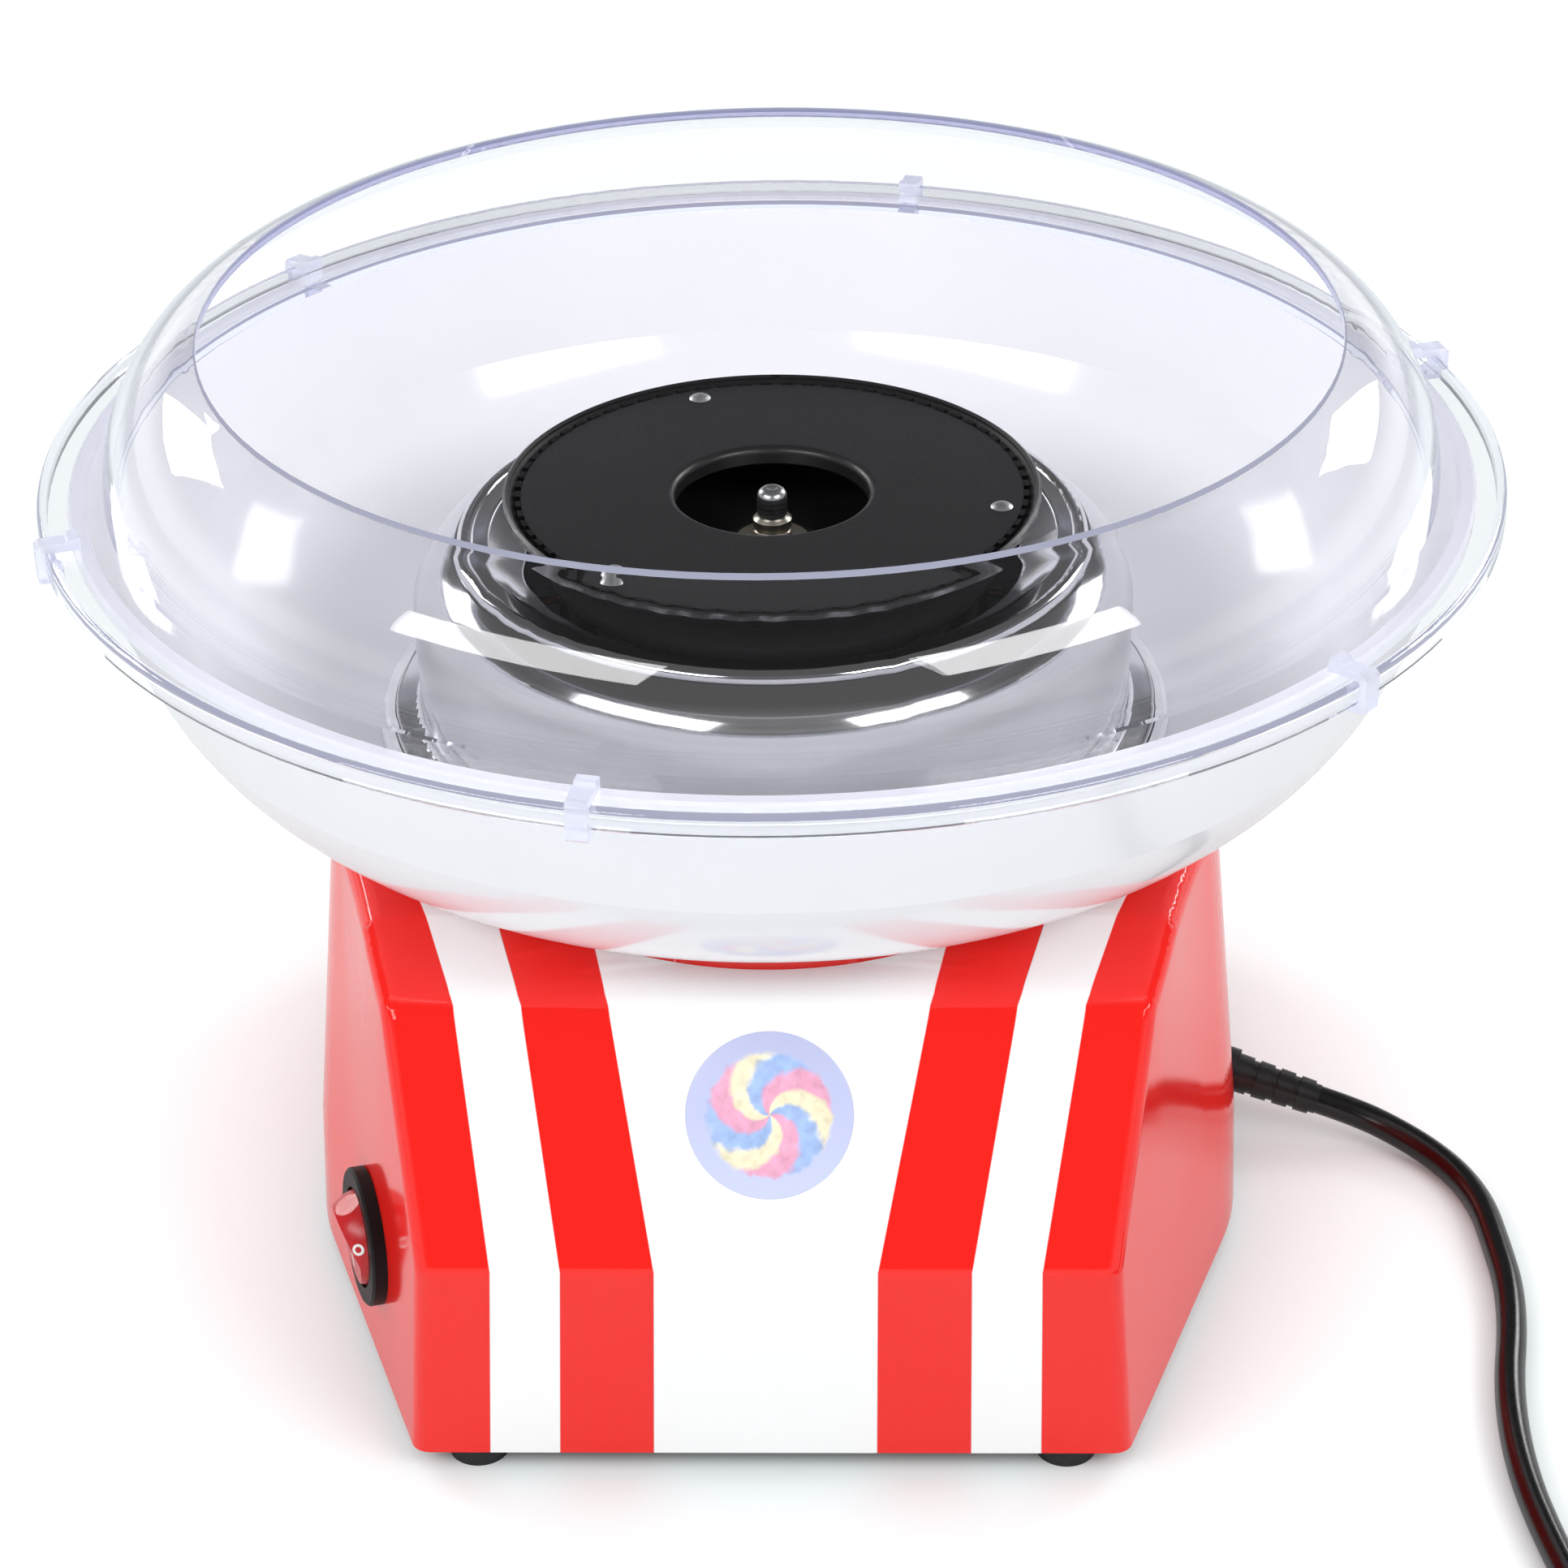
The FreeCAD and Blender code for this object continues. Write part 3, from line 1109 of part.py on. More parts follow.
def cord_coil():
    """The outer shape of the stored coil: a lower layer of three turns and an upper one of two."""
    cord = CORD_DIAMETER / 2
    outer = COIL_TURN_RADII[0] + cord
    inner = COIL_TURN_RADII[-1] - cord
    bottom = CORD_FLOOR_GAP
    waist = CORD_DIAMETER - 0.6
    top = COIL_LAYER_RISE + CORD_DIAMETER
    body = turned(
        (inner + 1.8, bottom), (outer - 1.8, bottom), (outer, bottom + 1.8), (outer, waist),
        (outer - 3.2, top - 1.4), (outer - 5.0, top), (inner + 5.0, top), (inner + 3.2, top - 1.4),
        (inner, waist), (inner, bottom + 1.8))
    body.translate(COIL_CENTRE)
    return body


def plug_tail():
    """The short end of cord between coil and plug."""
    length = 14.0
    start = Vector(PLUG_CENTRE_X, PLUG_START_Y - length, PLUG_THICKNESS / 2)
    return Part.makeCylinder(CORD_DIAMETER / 2, length, start, Vector(0, 1, 0))


def plug():
    """Flat two-pin plug with a moulded tail."""
    z = PLUG_THICKNESS / 2
    x = PLUG_CENTRE_X
    start = PLUG_START_Y
    tail = Part.makeCone(CORD_DIAMETER / 2 + 0.6, PLUG_THICKNESS / 2 - 1.2, PLUG_RELIEF_LENGTH,
                         Vector(x, start, z), Vector(0, 1, 0))
    half = PLUG_WIDTH / 2
    shoulder = start + PLUG_RELIEF_LENGTH
    end = start + PLUG_LENGTH
    points = [(x - 6.0, shoulder - 1.0), (x - half, shoulder + 9.0), (x - half + 1.0, end),
              (x + half - 1.0, end), (x + half, shoulder + 9.0), (x + 6.0, shoulder - 1.0)]
    wire = Part.makePolygon([Vector(px, py, 0) for px, py in points + points[:1]])
    body = Part.Face(wire).extrude(Vector(0, 0, PLUG_THICKNESS))
    body = body.makeChamfer(1.6, body.Edges)
    body = body.fuse(tail).removeSplitter()
    return cut_all(body, plug_pins())


def plug_pins():
    """Two round pins, sunk into the plug's face."""
    z = PLUG_THICKNESS / 2
    root = PLUG_START_Y + PLUG_LENGTH - 8.0
    pins = []
    for x in (-PIN_PITCH / 2, PIN_PITCH / 2):
        base = Vector(PLUG_CENTRE_X + x, root, z)
        pin = Part.makeCylinder(PIN_RADIUS, PIN_LENGTH + 8.0, base, Vector(0, 1, 0))
        tip = [e for e in pin.Edges if e.BoundBox.YMin > root + PIN_LENGTH + 7.0]
        pins.append(pin.makeFillet(PIN_RADIUS * 0.8, tip))
    return pins


def main():
    """Build every node and write it to parts/."""
    os.makedirs("parts", exist_ok=True)
    shell = housing()
    save("housing", shell)
    save("base_plate", base_plate())
    for name, (x, y) in zip(("front_left", "front_right"), FRONT_FEET):
        save("foot_" + name, foot(x, y))
    for name, (x, y) in zip(("rear_left", "rear_right"), REAR_FEET):
        save("foot_" + name, foot(x, y))
    save("foot_screws", foot_screws())
    save("plate_screws", plate_screws())
    save("motor_can", motor_can())
    save("motor_end_cap", motor_end_cap())
    save("motor_bushings", motor_bushings())
    save("motor_magnets", motor_magnets())
    save("motor_bracket", motor_bracket())
    save("motor_dampers", motor_dampers())
    save("bracket_screws", bracket_screws())
    save("heater_pan", heater_pan())
    save("heating_element", heating_element())
    save("heater_posts", heater_posts())
    save("thermal_cutoff", thermal_cutoff())
    save("shroud", shroud())
    save("shroud_screws", shroud_screws())
    save("shaft", shaft())
    save("drive_pin", drive_pin())
    save("rotor", rotor())
    save("commutator", commutator())
    save("head_dish", head_dish())
    save("head_band", head_band())
    save("head_plate", head_plate())
    save("head_rivets", head_rivets())
    save("hub", hub())
    save("bowl", bowl())
    save("shield", shield())
    for index, solid in enumerate(around(clip(), CLIP_COUNT, CLIP_FIRST_ANGLE)):
        save("clip_%d" % (index + 1), solid)
    save("switch_body", switch_body())
    save("switch_tabs", switch_tabs())
    save("rocker", rocker())
    save("terminal_block", terminal_block())
    save("rectifier_board", rectifier_board())
    save("rectifier_diodes", rectifier_diodes())
    save("strain_relief", strain_relief(shell))
    save("power_cord", cord_tube(cord_route(), CORD_DIAMETER / 2))
    save("cord_coil", cord_coil())
    save("plug_tail", plug_tail())
    save("plug", plug())
    save("plug_pins", plug_pins())


main()
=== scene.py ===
import logging
import math
from collections.abc import Callable
from dataclasses import dataclass, field
from enum import Enum
from typing import Any

import bmesh
import bpy
from mathutils import Matrix, Vector


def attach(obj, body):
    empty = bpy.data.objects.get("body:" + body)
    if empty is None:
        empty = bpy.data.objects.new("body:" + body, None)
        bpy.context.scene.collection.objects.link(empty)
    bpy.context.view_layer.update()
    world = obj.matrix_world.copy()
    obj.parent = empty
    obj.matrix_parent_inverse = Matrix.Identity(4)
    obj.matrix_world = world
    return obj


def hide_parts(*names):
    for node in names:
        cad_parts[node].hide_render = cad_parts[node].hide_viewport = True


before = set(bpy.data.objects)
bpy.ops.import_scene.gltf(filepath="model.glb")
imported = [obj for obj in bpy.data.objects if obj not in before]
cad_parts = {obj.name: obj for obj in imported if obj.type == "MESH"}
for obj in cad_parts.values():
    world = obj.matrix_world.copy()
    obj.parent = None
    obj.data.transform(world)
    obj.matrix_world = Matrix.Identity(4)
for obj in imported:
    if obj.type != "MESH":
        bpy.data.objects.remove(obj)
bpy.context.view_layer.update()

MM = 0.001
# The middle part of a noise's range, where most of its values lie
NOISE_SPAN = (0.3, 0.7)
PLASTIC_IOR = 1.5

log = logging.getLogger("candy_floss_machine")

Point = tuple[float, float, float]
Colour = tuple[float, float, float, float]
Socket = bpy.types.NodeSocket
Sockets = dict[str, Socket]


# ---- Nodes and colours ----
def linear(code: str) -> Colour:
    """Turns an sRGB hex colour into Blender's linear one.

    Args:
        code: The colour, such as "#C8102E".

    Returns:
        Red, green, blue and an alpha of 1, in linear light.
    """
    parts = [int(code[place:place + 2], 16) / 255.0 for place in (1, 3, 5)]
    light = [c / 12.92 if c <= 0.04045 else ((c + 0.055) / 1.055) ** 2.4 for c in parts]
    return (light[0], light[1], light[2], 1.0)


def add_node(
    tree: bpy.types.NodeTree,
    kind: str,
    settings: dict[str, Any] | None = None,
    inputs: dict[str | int, Any] | None = None,
) -> bpy.types.Node:
    """Adds a node with its settings, its plain values and its links.

    Args:
        tree: The material's or the world's node tree.
        kind: Blender's name for the node.
        settings: Values for the node's own properties.
        inputs: For each input, by name or place, a value or a socket to link to it.

    Returns:
        The new node.
    """
    node = tree.nodes.new(kind)
    for name, value in (settings or {}).items():
        setattr(node, name, value)
    for key, value in (inputs or {}).items():
        if isinstance(value, bpy.types.NodeSocket):
            tree.links.new(value, node.inputs[key])
        else:
            node.inputs[key].default_value = value
    return node


def fresh_tree(owner: bpy.types.Material | bpy.types.World) -> bpy.types.NodeTree:
    """Returns the empty node tree of a new material or world."""
    owner.use_nodes = True
    owner.node_tree.nodes.clear()
    return owner.node_tree


def place_on(tree: bpy.types.NodeTree, kind: str = "Object") -> Socket:
    """Returns the place of a point, in the object's own coordinates unless another kind is asked for."""
    return add_node(tree, "ShaderNodeTexCoord").outputs[kind]


def sums(tree: bpy.types.NodeTree, operation: str, *values: Any, **settings: Any) -> Socket:
    """Works out one sum on numbers.

    Args:
        tree: The node tree.
        operation: Blender's name for the sum.
        values: Its numbers and sockets.
        settings: Values for the node's own properties.

    Returns:
        The result.
    """
    return add_node(tree, "ShaderNodeMath", {"operation": operation, **settings},
                    dict(enumerate(values))).outputs[0]


def remap(tree: bpy.types.NodeTree, value: Socket, first: float, last: float,
          low: float = 0.0, high: float = 1.0, smooth: bool = False) -> Socket:
    """Maps one span of values onto another, and holds what lies beyond it.

    Args:
        tree: The node tree.
        value: The value.
        first: Where the span starts.
        last: Where it ends.
        low: What its start becomes.
        high: What its end becomes.
        smooth: Whether it eases in and out.

    Returns:
        The mapped value.
    """
    kind = "SMOOTHSTEP" if smooth else "LINEAR"
    return add_node(tree, "ShaderNodeMapRange", {"interpolation_type": kind}, {
        "Value": value, "From Min": first, "From Max": last, "To Min": low, "To Max": high}).outputs["Result"]


def vary(tree: bpy.types.NodeTree, pattern: Socket, middle: float, share: float) -> Socket:
    """Returns a value that a noise takes up and down by a share of it."""
    return remap(tree, pattern, *NOISE_SPAN, middle * (1 - share), middle * (1 + share))


def noise(tree: bpy.types.NodeTree, place: Socket, size: float, detail: float, **inputs: float) -> Socket:
    """Returns a soft random pattern with spots of about the given size."""
    return add_node(tree, "ShaderNodeTexNoise", inputs={
        "Vector": place, "Scale": 1.0 / size, "Detail": detail, **inputs}).outputs["Fac"]


def bumped(tree: bpy.types.NodeTree, height: Socket, depth_mm: float, **settings: Any) -> bpy.types.Node:
    """Returns a node that raises the skin by a height pattern, to a depth in millimetres."""
    return add_node(tree, "ShaderNodeBump", settings, {"Distance": depth_mm * MM, "Height": height})


def mixed(tree: bpy.types.NodeTree, share: float | Socket, first: Any, second: Any,
          blend: str = "MIX") -> Socket:
    """Returns a colour mixed from two, or multiplied if blend says so."""
    return add_node(tree, "ShaderNodeMix", {"data_type": "RGBA", "blend_type": blend}, {
        0: share, 6: first, 7: second}).outputs[2]


def split(tree: bpy.types.NodeTree, place: Socket) -> tuple[Socket, Socket, Socket, Socket]:
    """Returns a place's X, Y and Z, and its distance from the upright axis."""
    axes = add_node(tree, "ShaderNodeSeparateXYZ", inputs={0: place}).outputs
    flat = add_node(tree, "ShaderNodeCombineXYZ", inputs={"X": axes["X"], "Y": axes["Y"]})
    away = add_node(tree, "ShaderNodeVectorMath", {"operation": "LENGTH"}, {0: flat.outputs[0]})
    return axes["X"], axes["Y"], axes["Z"], away.outputs["Value"]


def skin(tree: bpy.types.NodeTree, colour: Socket, roughness: float | Socket,
         bump: bpy.types.Node | None = None, **more: Any) -> Sockets:
    """Makes one plastic or metal shader.

    Args:
        tree: The material's node tree.
        colour: Its colour.
        roughness: Its roughness.
        bump: The node that raises it, if it isn't flat.
        more: Its other inputs, with an underscore for each space.

    Returns:
        The shader for the surface.
    """
    inputs = {"Base Color": colour, "Roughness": roughness}
    inputs.update({name.replace("_", " "): value for name, value in more.items()})
    if bump is not None:
        inputs["Normal"] = bump.outputs["Normal"]
    shader = add_node(tree, "ShaderNodeBsdfPrincipled", inputs=inputs)
    return {"Surface": shader.outputs["BSDF"]}


# ---- Finishes ----
@dataclass(frozen=True)
class Finish:
    """A finish, named for the real material."""

    name: str

    def material(self) -> bpy.types.Material:
        """Returns this finish's material, made the first time that a piece asks for it."""
        made = bpy.data.materials.get(self.name)
        if made is None:
            made = bpy.data.materials.new(self.name)
            tree = fresh_tree(made)
            add_node(tree, "ShaderNodeOutputMaterial", inputs=self.shade(tree))
        return made

    def shade(self, tree: bpy.types.NodeTree) -> Sockets:
        """Builds the nodes; each kind of finish has its own."""
        raise NotImplementedError


@dataclass(frozen=True)
class Moulding(Finish):
    """Plastic, rubber or ceramic with a fine skin: grain in the gloss, faint clouds in the colour."""

    colour: str
    roughness: float
    grain_mm: float = 0.8
    grain_depth_mm: float = 0.004
    cloud: float = 0.03
    ior: float = PLASTIC_IOR
    cloud_mm: float = 35.0
    unevenness: float = 0.15

    def shade(self, tree: bpy.types.NodeTree) -> Sockets:
        """Builds the skin's grain and clouds round one plastic shader.

        Args:
            tree: The material's node tree.

        Returns:
            The shader for the surface.
        """
        place = place_on(tree)
        grain = noise(tree, place, self.grain_mm * MM, 3.0)
        clouds = noise(tree, place, self.cloud_mm * MM, 2.0)
        tone = remap(tree, clouds, *NOISE_SPAN, 1.0 - self.cloud, 1.0)
        colour = mixed(tree, 1.0, linear(self.colour), tone, "MULTIPLY")
        gloss = vary(tree, grain, self.roughness, self.unevenness)
        return skin(tree, colour, gloss, bumped(tree, grain, self.grain_depth_mm), IOR=self.ior)


@dataclass(frozen=True)
class StripedShell(Finish):
    """Glossy red moulding whose front carries raised white bands that fan out towards the deck.

    The half widths are the bands' three edges, at the foot, the crease and the kink. The bands'
    middle drifts sideways on the way up, and each edge fans out behind the kink.
    """

    red: str
    white: str
    roughness: float
    half_widths: tuple[tuple[float, float, float], ...]
    drift: tuple[float, float]
    fan: tuple[float, float, float]
    foot_z: float
    crease_z: float
    kink_z: float
    kink_y: float
    band_end_y: float
    seat_radius: float
    edge_mm: float = 0.25
    band_depth_mm: float = 0.12
    ripple_mm: float = 9.0
    ripple_depth_mm: float = 0.01
    unevenness: float = 0.2

    def shade(self, tree: bpy.types.NodeTree) -> Sockets:
        """Builds the bands from three edges a side, each straight on each panel.

        Args:
            tree: The material's node tree.

        Returns:
            The shader for the surface.
        """
        place = place_on(tree)
        x, y, z, away = split(tree, place)
        foot_z, crease_z, kink_z = self.foot_z * MM, self.crease_z * MM, self.kink_z * MM
        kink_y, end_y = self.kink_y * MM, self.band_end_y * MM
        soft = self.edge_mm * MM / 2
        middle = remap(tree, z, foot_z, kink_z, self.drift[0] * MM, self.drift[1] * MM)
        across = sums(tree, "ABSOLUTE", sums(tree, "SUBTRACT", x, middle))
        steps = []
        for index, fan in enumerate(self.fan):
            foot, crease, kink = (widths[index] * MM for widths in self.half_widths)
            lower = remap(tree, z, foot_z, crease_z, foot, crease)
            upper = remap(tree, z, crease_z, kink_z, 0.0, kink - crease)
            behind = remap(tree, y, kink_y, end_y, 0.0, fan * (end_y - kink_y))
            edge = sums(tree, "ADD", sums(tree, "ADD", lower, upper), behind)
            steps.append(remap(tree, sums(tree, "SUBTRACT", across, edge), -soft, soft, smooth=True))
        banded = sums(tree, "ADD", sums(tree, "SUBTRACT", steps[0], steps[1]), steps[2])
        on_seat = sums(tree, "LESS_THAN", away, self.seat_radius * MM)
        bare = sums(tree, "MAXIMUM", on_seat, sums(tree, "GREATER_THAN", y, end_y))
        red_part = sums(tree, "MAXIMUM", banded, bare, use_clamp=True)
        colour = mixed(tree, red_part, linear(self.white), linear(self.red))
        ripple = noise(tree, place, self.ripple_mm * MM, 1.0)
        bump = bumped(tree, red_part, self.band_depth_mm, invert=True)
        tree.links.new(bumped(tree, ripple, self.ripple_depth_mm).outputs["Normal"], bump.inputs["Normal"])
        gloss = remap(tree, ripple, 0.0, 1.0, self.roughness * (1 - self.unevenness),
                      self.roughness * (1 + self.unevenness))
        return skin(tree, colour, gloss, bump, IOR=PLASTIC_IOR)


class Lay(Enum):
    """The way that a metal's fine lines run."""

    TURNED = "round the machine's axis"
    TUMBLED = "no way"
    DRAWN = "upright"


@dataclass(frozen=True)
class Metal(Finish):
    """Bare or plated metal with the fine lines that its making left."""

    colour: str
    roughness: float
    lay: Lay = Lay.TUMBLED
    line_mm: float = 0.5
    line_depth_mm: float = 0.002
    spread: float = 0.3
    smear_mm: float = 14.0
    smear_share: float = 0.4
    dullest: float = 0.92
    stretch: Point = (1.0, 1.0, 0.03)

    def shade(self, tree: bpy.types.NodeTree) -> Sockets:
        """Builds the lines in gloss and height round one metal shader.

        Args:
            tree: The material's node tree.

        Returns:
            The shader for the surface.
        """
        place = place_on(tree)
        run = place
        if self.lay is Lay.TURNED:
            _, _, z, away = split(tree, place)
            run = add_node(tree, "ShaderNodeCombineXYZ", inputs={"X": away, "Z": z}).outputs[0]
        elif self.lay is Lay.DRAWN:
            run = add_node(tree, "ShaderNodeMapping", inputs={
                "Vector": run, "Scale": self.stretch}).outputs[0]
        lines = noise(tree, run, self.line_mm * MM, 3.0, Roughness=0.6)
        smears = noise(tree, place, self.smear_mm * MM, 3.0)
        both = add_node(tree, "ShaderNodeMix", {"data_type": "FLOAT"}, {
            0: self.smear_share, 2: lines, 3: smears}).outputs[0]
        tone = remap(tree, both, *NOISE_SPAN, self.dullest, 1.0)
        colour = mixed(tree, 1.0, linear(self.colour), tone, "MULTIPLY")
        gloss = vary(tree, both, self.roughness, self.spread)
        return skin(tree, colour, gloss, bumped(tree, lines, self.line_depth_mm), Metallic=1.0)


@dataclass(frozen=True)
class BakedCoat(Finish):
    """Black non-stick coat on aluminium, a little worn to grey along the rim; the grey also stands in for a
    painted highlight on the rim's edge.
    """

    colour: str
    worn_and_highlight: str
    roughness: float
    rim_radius: float
    wear_and_highlight_mm: float = 0.5
    grit_mm: float = 0.7
    grit_depth_mm: float = 0.006
    patch_mm: float = 6.0
    patch_span: tuple[float, float] = (0.45, 0.7)
    unevenness: float = 0.15

    def shade(self, tree: bpy.types.NodeTree) -> Sockets:
        """Builds the coat's grit and the grey beyond the rim's radius: wear, and a painted highlight on the
        rim's edge.

        Args:
            tree: The material's node tree.

        Returns:
            The shader for the surface.
        """
        place = place_on(tree)
        away = split(tree, place)[3]
        grit = noise(tree, place, self.grit_mm * MM, 4.0)
        patches = noise(tree, place, self.patch_mm * MM, 4.0)
        # Grey patches beyond the rim's radius: wear, and a painted highlight along the rim's edge
        rim = remap(tree, away, (self.rim_radius - self.wear_and_highlight_mm) * MM, self.rim_radius * MM)
        wear_and_highlight = sums(tree, "MULTIPLY", rim, remap(tree, patches, *self.patch_span))
        colour = mixed(tree, wear_and_highlight, linear(self.colour), linear(self.worn_and_highlight))
        gloss = vary(tree, grit, self.roughness, self.unevenness)
        return skin(tree, colour, gloss, bumped(tree, grit, self.grit_depth_mm), IOR=PLASTIC_IOR)


@dataclass(frozen=True)
class ClearMoulding(Finish):
    """Clear or milky plastic with a cool tint that gathers where the light runs along the wall, and a painted
    lavender glow where rays have bounced inside it.
    """

    tint: str
    depth: float
    roughness: float = 0.0
    milk: float = 0.0
    body: str = "#FFFFFF"
    # Colour and strength of the painted glow that stands in for light caught inside the wall
    edge: str = "#CDCFE0"
    painted_glow_strength: float = 0.8
    caught_after: float = 2.5
    lamp_share: Colour = (0.93, 0.935, 0.95, 1.0)
    flow_mm: float = 30.0
    flow_depth_mm: float = 0.03

    def shade(self, tree: bpy.types.NodeTree) -> Sockets:
        """Builds the clear wall; lamps pass through it, and where rays have bounced inside it a few times it
        shows a painted glow of its edge colour.

        Args:
            tree: The material's node tree.

        Returns:
            The shader for the surface, and the tint inside the wall.
        """
        flow = noise(tree, place_on(tree), self.flow_mm * MM, 1.0)
        wall = skin(tree, linear(self.body), self.roughness, bumped(tree, flow, self.flow_depth_mm),
                    IOR=PLASTIC_IOR, Transmission_Weight=1.0 - self.milk)["Surface"]
        path = add_node(tree, "ShaderNodeLightPath").outputs
        open_way = add_node(tree, "ShaderNodeBsdfTransparent", inputs={"Color": self.lamp_share})
        # Painted glow: rays that have bounced inside the wall more than a few times show the edge colour
        # glowing
        caught = sums(tree, "GREATER_THAN", path["Glossy Depth"], self.caught_after)
        painted_edge_glow = add_node(tree, "ShaderNodeEmission", inputs={
            "Color": linear(self.edge), "Strength": self.painted_glow_strength})
        lit = add_node(tree, "ShaderNodeMixShader", inputs={
            0: caught, 1: wall, 2: painted_edge_glow.outputs["Emission"]})
        surface = add_node(tree, "ShaderNodeMixShader", inputs={
            0: path["Is Shadow Ray"], 1: lit.outputs["Shader"], 2: open_way.outputs["BSDF"]})
        inside = add_node(tree, "ShaderNodeVolumeAbsorption", inputs={
            "Color": linear(self.tint), "Density": self.depth})
        return {"Surface": surface.outputs["Shader"], "Volume": inside.outputs["Volume"]}


@dataclass(frozen=True)
class SweetBadge(Finish):
    """Printed label: a pastel pinwheel on a lavender ground, under a clear film."""

    ground: str
    arms: tuple[str, str, str]
    centre: Point
    lean: float
    radius: float
    fluff_size: float = 1.0 / 7.0
    sweep: float = 1.1
    ragged_arms: float = 0.25
    ragged_rim: float = 0.16
    rim: tuple[float, float] = (0.78, 0.86)
    stops: tuple[tuple[float, int], ...] = (
        (0.0, 0), (0.26, 0), (0.36, 1), (0.6, 1), (0.7, 2), (0.92, 2), (1.0, 0))

    def shade(self, tree: bpy.types.NodeTree) -> Sockets:
        """Builds the pinwheel in the label's own plane, where the label's radius is 1.

        Args:
            tree: The material's node tree.

        Returns:
            The shader for the surface.
        """
        own = add_node(tree, "ShaderNodeMapping", {"vector_type": "TEXTURE"}, {
            "Vector": place_on(tree), "Location": self.centre,
            "Rotation": (self.lean, 0.0, 0.0), "Scale": (self.radius,) * 3}).outputs[0]
        x, y, _, away = split(tree, own)
        fluff = noise(tree, own, self.fluff_size, 5.0)
        times = float(len(self.arms))
        turns = sums(tree, "MULTIPLY_ADD", sums(tree, "ARCTAN2", y, x), times / (2.0 * math.pi), times)
        swept = sums(tree, "MULTIPLY_ADD", away, self.sweep, turns)
        arm = sums(tree, "FRACT", sums(tree, "MULTIPLY_ADD", fluff, self.ragged_arms, swept))
        ramp = add_node(tree, "ShaderNodeValToRGB", inputs={0: arm})
        elements = ramp.color_ramp.elements
        while len(elements) < len(self.stops):
            elements.new(0.5)
        for element, (position, colour) in zip(elements, self.stops):
            element.position = position
            element.color = linear(self.arms[colour])
        shade = remap(tree, fluff, *NOISE_SPAN, 0.8, 1.1)
        candy = mixed(tree, 1.0, ramp.outputs["Color"], shade, "MULTIPLY")
        sky = mixed(tree, 1.0, linear(self.ground), remap(tree, y, -1.0, 1.0, 1.08, 0.86), "MULTIPLY")
        reach = sums(tree, "MULTIPLY_ADD", fluff, self.ragged_rim, away)
        outside = remap(tree, reach, *self.rim, smooth=True)
        return skin(tree, mixed(tree, outside, candy, sky), 0.3, IOR=PLASTIC_IOR)


# ---- The machine's finishes ----
# Injection-moulded ABS off a polished tool: deep gloss, soft ripple in the reflections
SHELL = StripedShell(
    "red ABS with white bands", red="#F21F18", white="#FBFBFB", roughness=0.1,
    half_widths=((21.85, 40.25, 53.95), (21.2, 39.0, 52.3), (30.7, 47.2, 60.0)),
    drift=(-1.15, 0.35), fan=(0.22, 0.28, 0.31), foot_z=5.0, crease_z=52.0, kink_z=97.5,
    kink_y=-91.0, band_end_y=-62.0, seat_radius=83.6)
# Polypropylene bowl: milk white with a cool cast, smooth enough to mirror the front
BOWL_WHITE = Moulding("milk white polypropylene", "#F1F1F6", 0.12, 1.5, 0.002, 0.01, 1.49)
# Styrene acrylonitrile shield: water clear, lavender where its tint gathers along the wall, with a painted
# lavender glow at its edges
CLEAR = ClearMoulding("clear styrene acrylonitrile", "#8C92DC", 16.0)
# The clips are the same plastic off a matt tool, so they look frosted; they carry the same painted glow
FROSTED = ClearMoulding("frosted styrene acrylonitrile", "#B4B9E0", 8.0, roughness=0.25, milk=0.35,
                        body="#ECEDF6")
# Spun stainless steel: bright, with faint rings from the spinning
SPUN_STEEL = Metal("spun stainless steel", "#D9D9DB", 0.1, Lay.TURNED, 0.9, 0.0015)
# Non-stick coat baked on spun aluminium: satin black with fine grit, grey at the rim for wear and a painted
# highlight
HEAD_COAT = BakedCoat("baked non-stick coat", "#1C1C1E", "#7A7A7E", 0.36, 54.0, 0.25)
# Aluminium rivets, rolled over cold: soft grey with a dull skin
RIVET = Metal("rolled aluminium", "#D2D3D5", 0.45, Lay.TUMBLED, 0.6)
# Slotted aluminium band: dark grey with a soft sheen, painted darker than the metal as shade so that its
# slots read dark
SHADE_DARK_ALUMINIUM = Metal("aluminium darkened as painted shade", "#3A3A3D", 0.4, Lay.TUMBLED, 0.5)
# Bright nickel plate on brass: warm grey mirror
NICKEL = Metal("bright nickel plate", "#DAD2C4", 0.3, Lay.TURNED, 0.5)
# Ground steel shaft: even silver with a short soft highlight
SHAFT_STEEL = Metal("ground steel", "#CDCED0", 0.3, Lay.TURNED, 0.4)
# Glass-filled nylon off an eroded tool: flat black with a visible grain
SWITCH_NYLON = Moulding("black nylon", "#0A0A0B", 0.5, 0.5, 0.01, 0.05, 1.33)
# Polycarbonate rocker: deep red with a soft gloss
ROCKER_RED = Moulding("red polycarbonate", "#C4121A", 0.3, 1.2, 0.001, 0.05)
# Pad-printed ink: flat white, a little duller than the rocker
MARK_WHITE = Moulding("white pad print", "#F4F4F2", 0.45, 0.4, 0.002, 0.02)
# Soft PVC sheath: black with long soft highlights
PVC = Moulding("black soft PVC", "#0B0B0C", 0.24, 1.6, 0.008, 0.05, 1.52)
# Harder PVC, moulded on: a little duller than the sheath
PVC_HARD = Moulding("black moulded PVC", "#101011", 0.36, 0.5, 0.012, 0.05, 1.52)
# Natural rubber feet, dusty and dull
RUBBER = Moulding("black rubber", "#17171A", 0.62, 0.7, 0.02, 0.12)
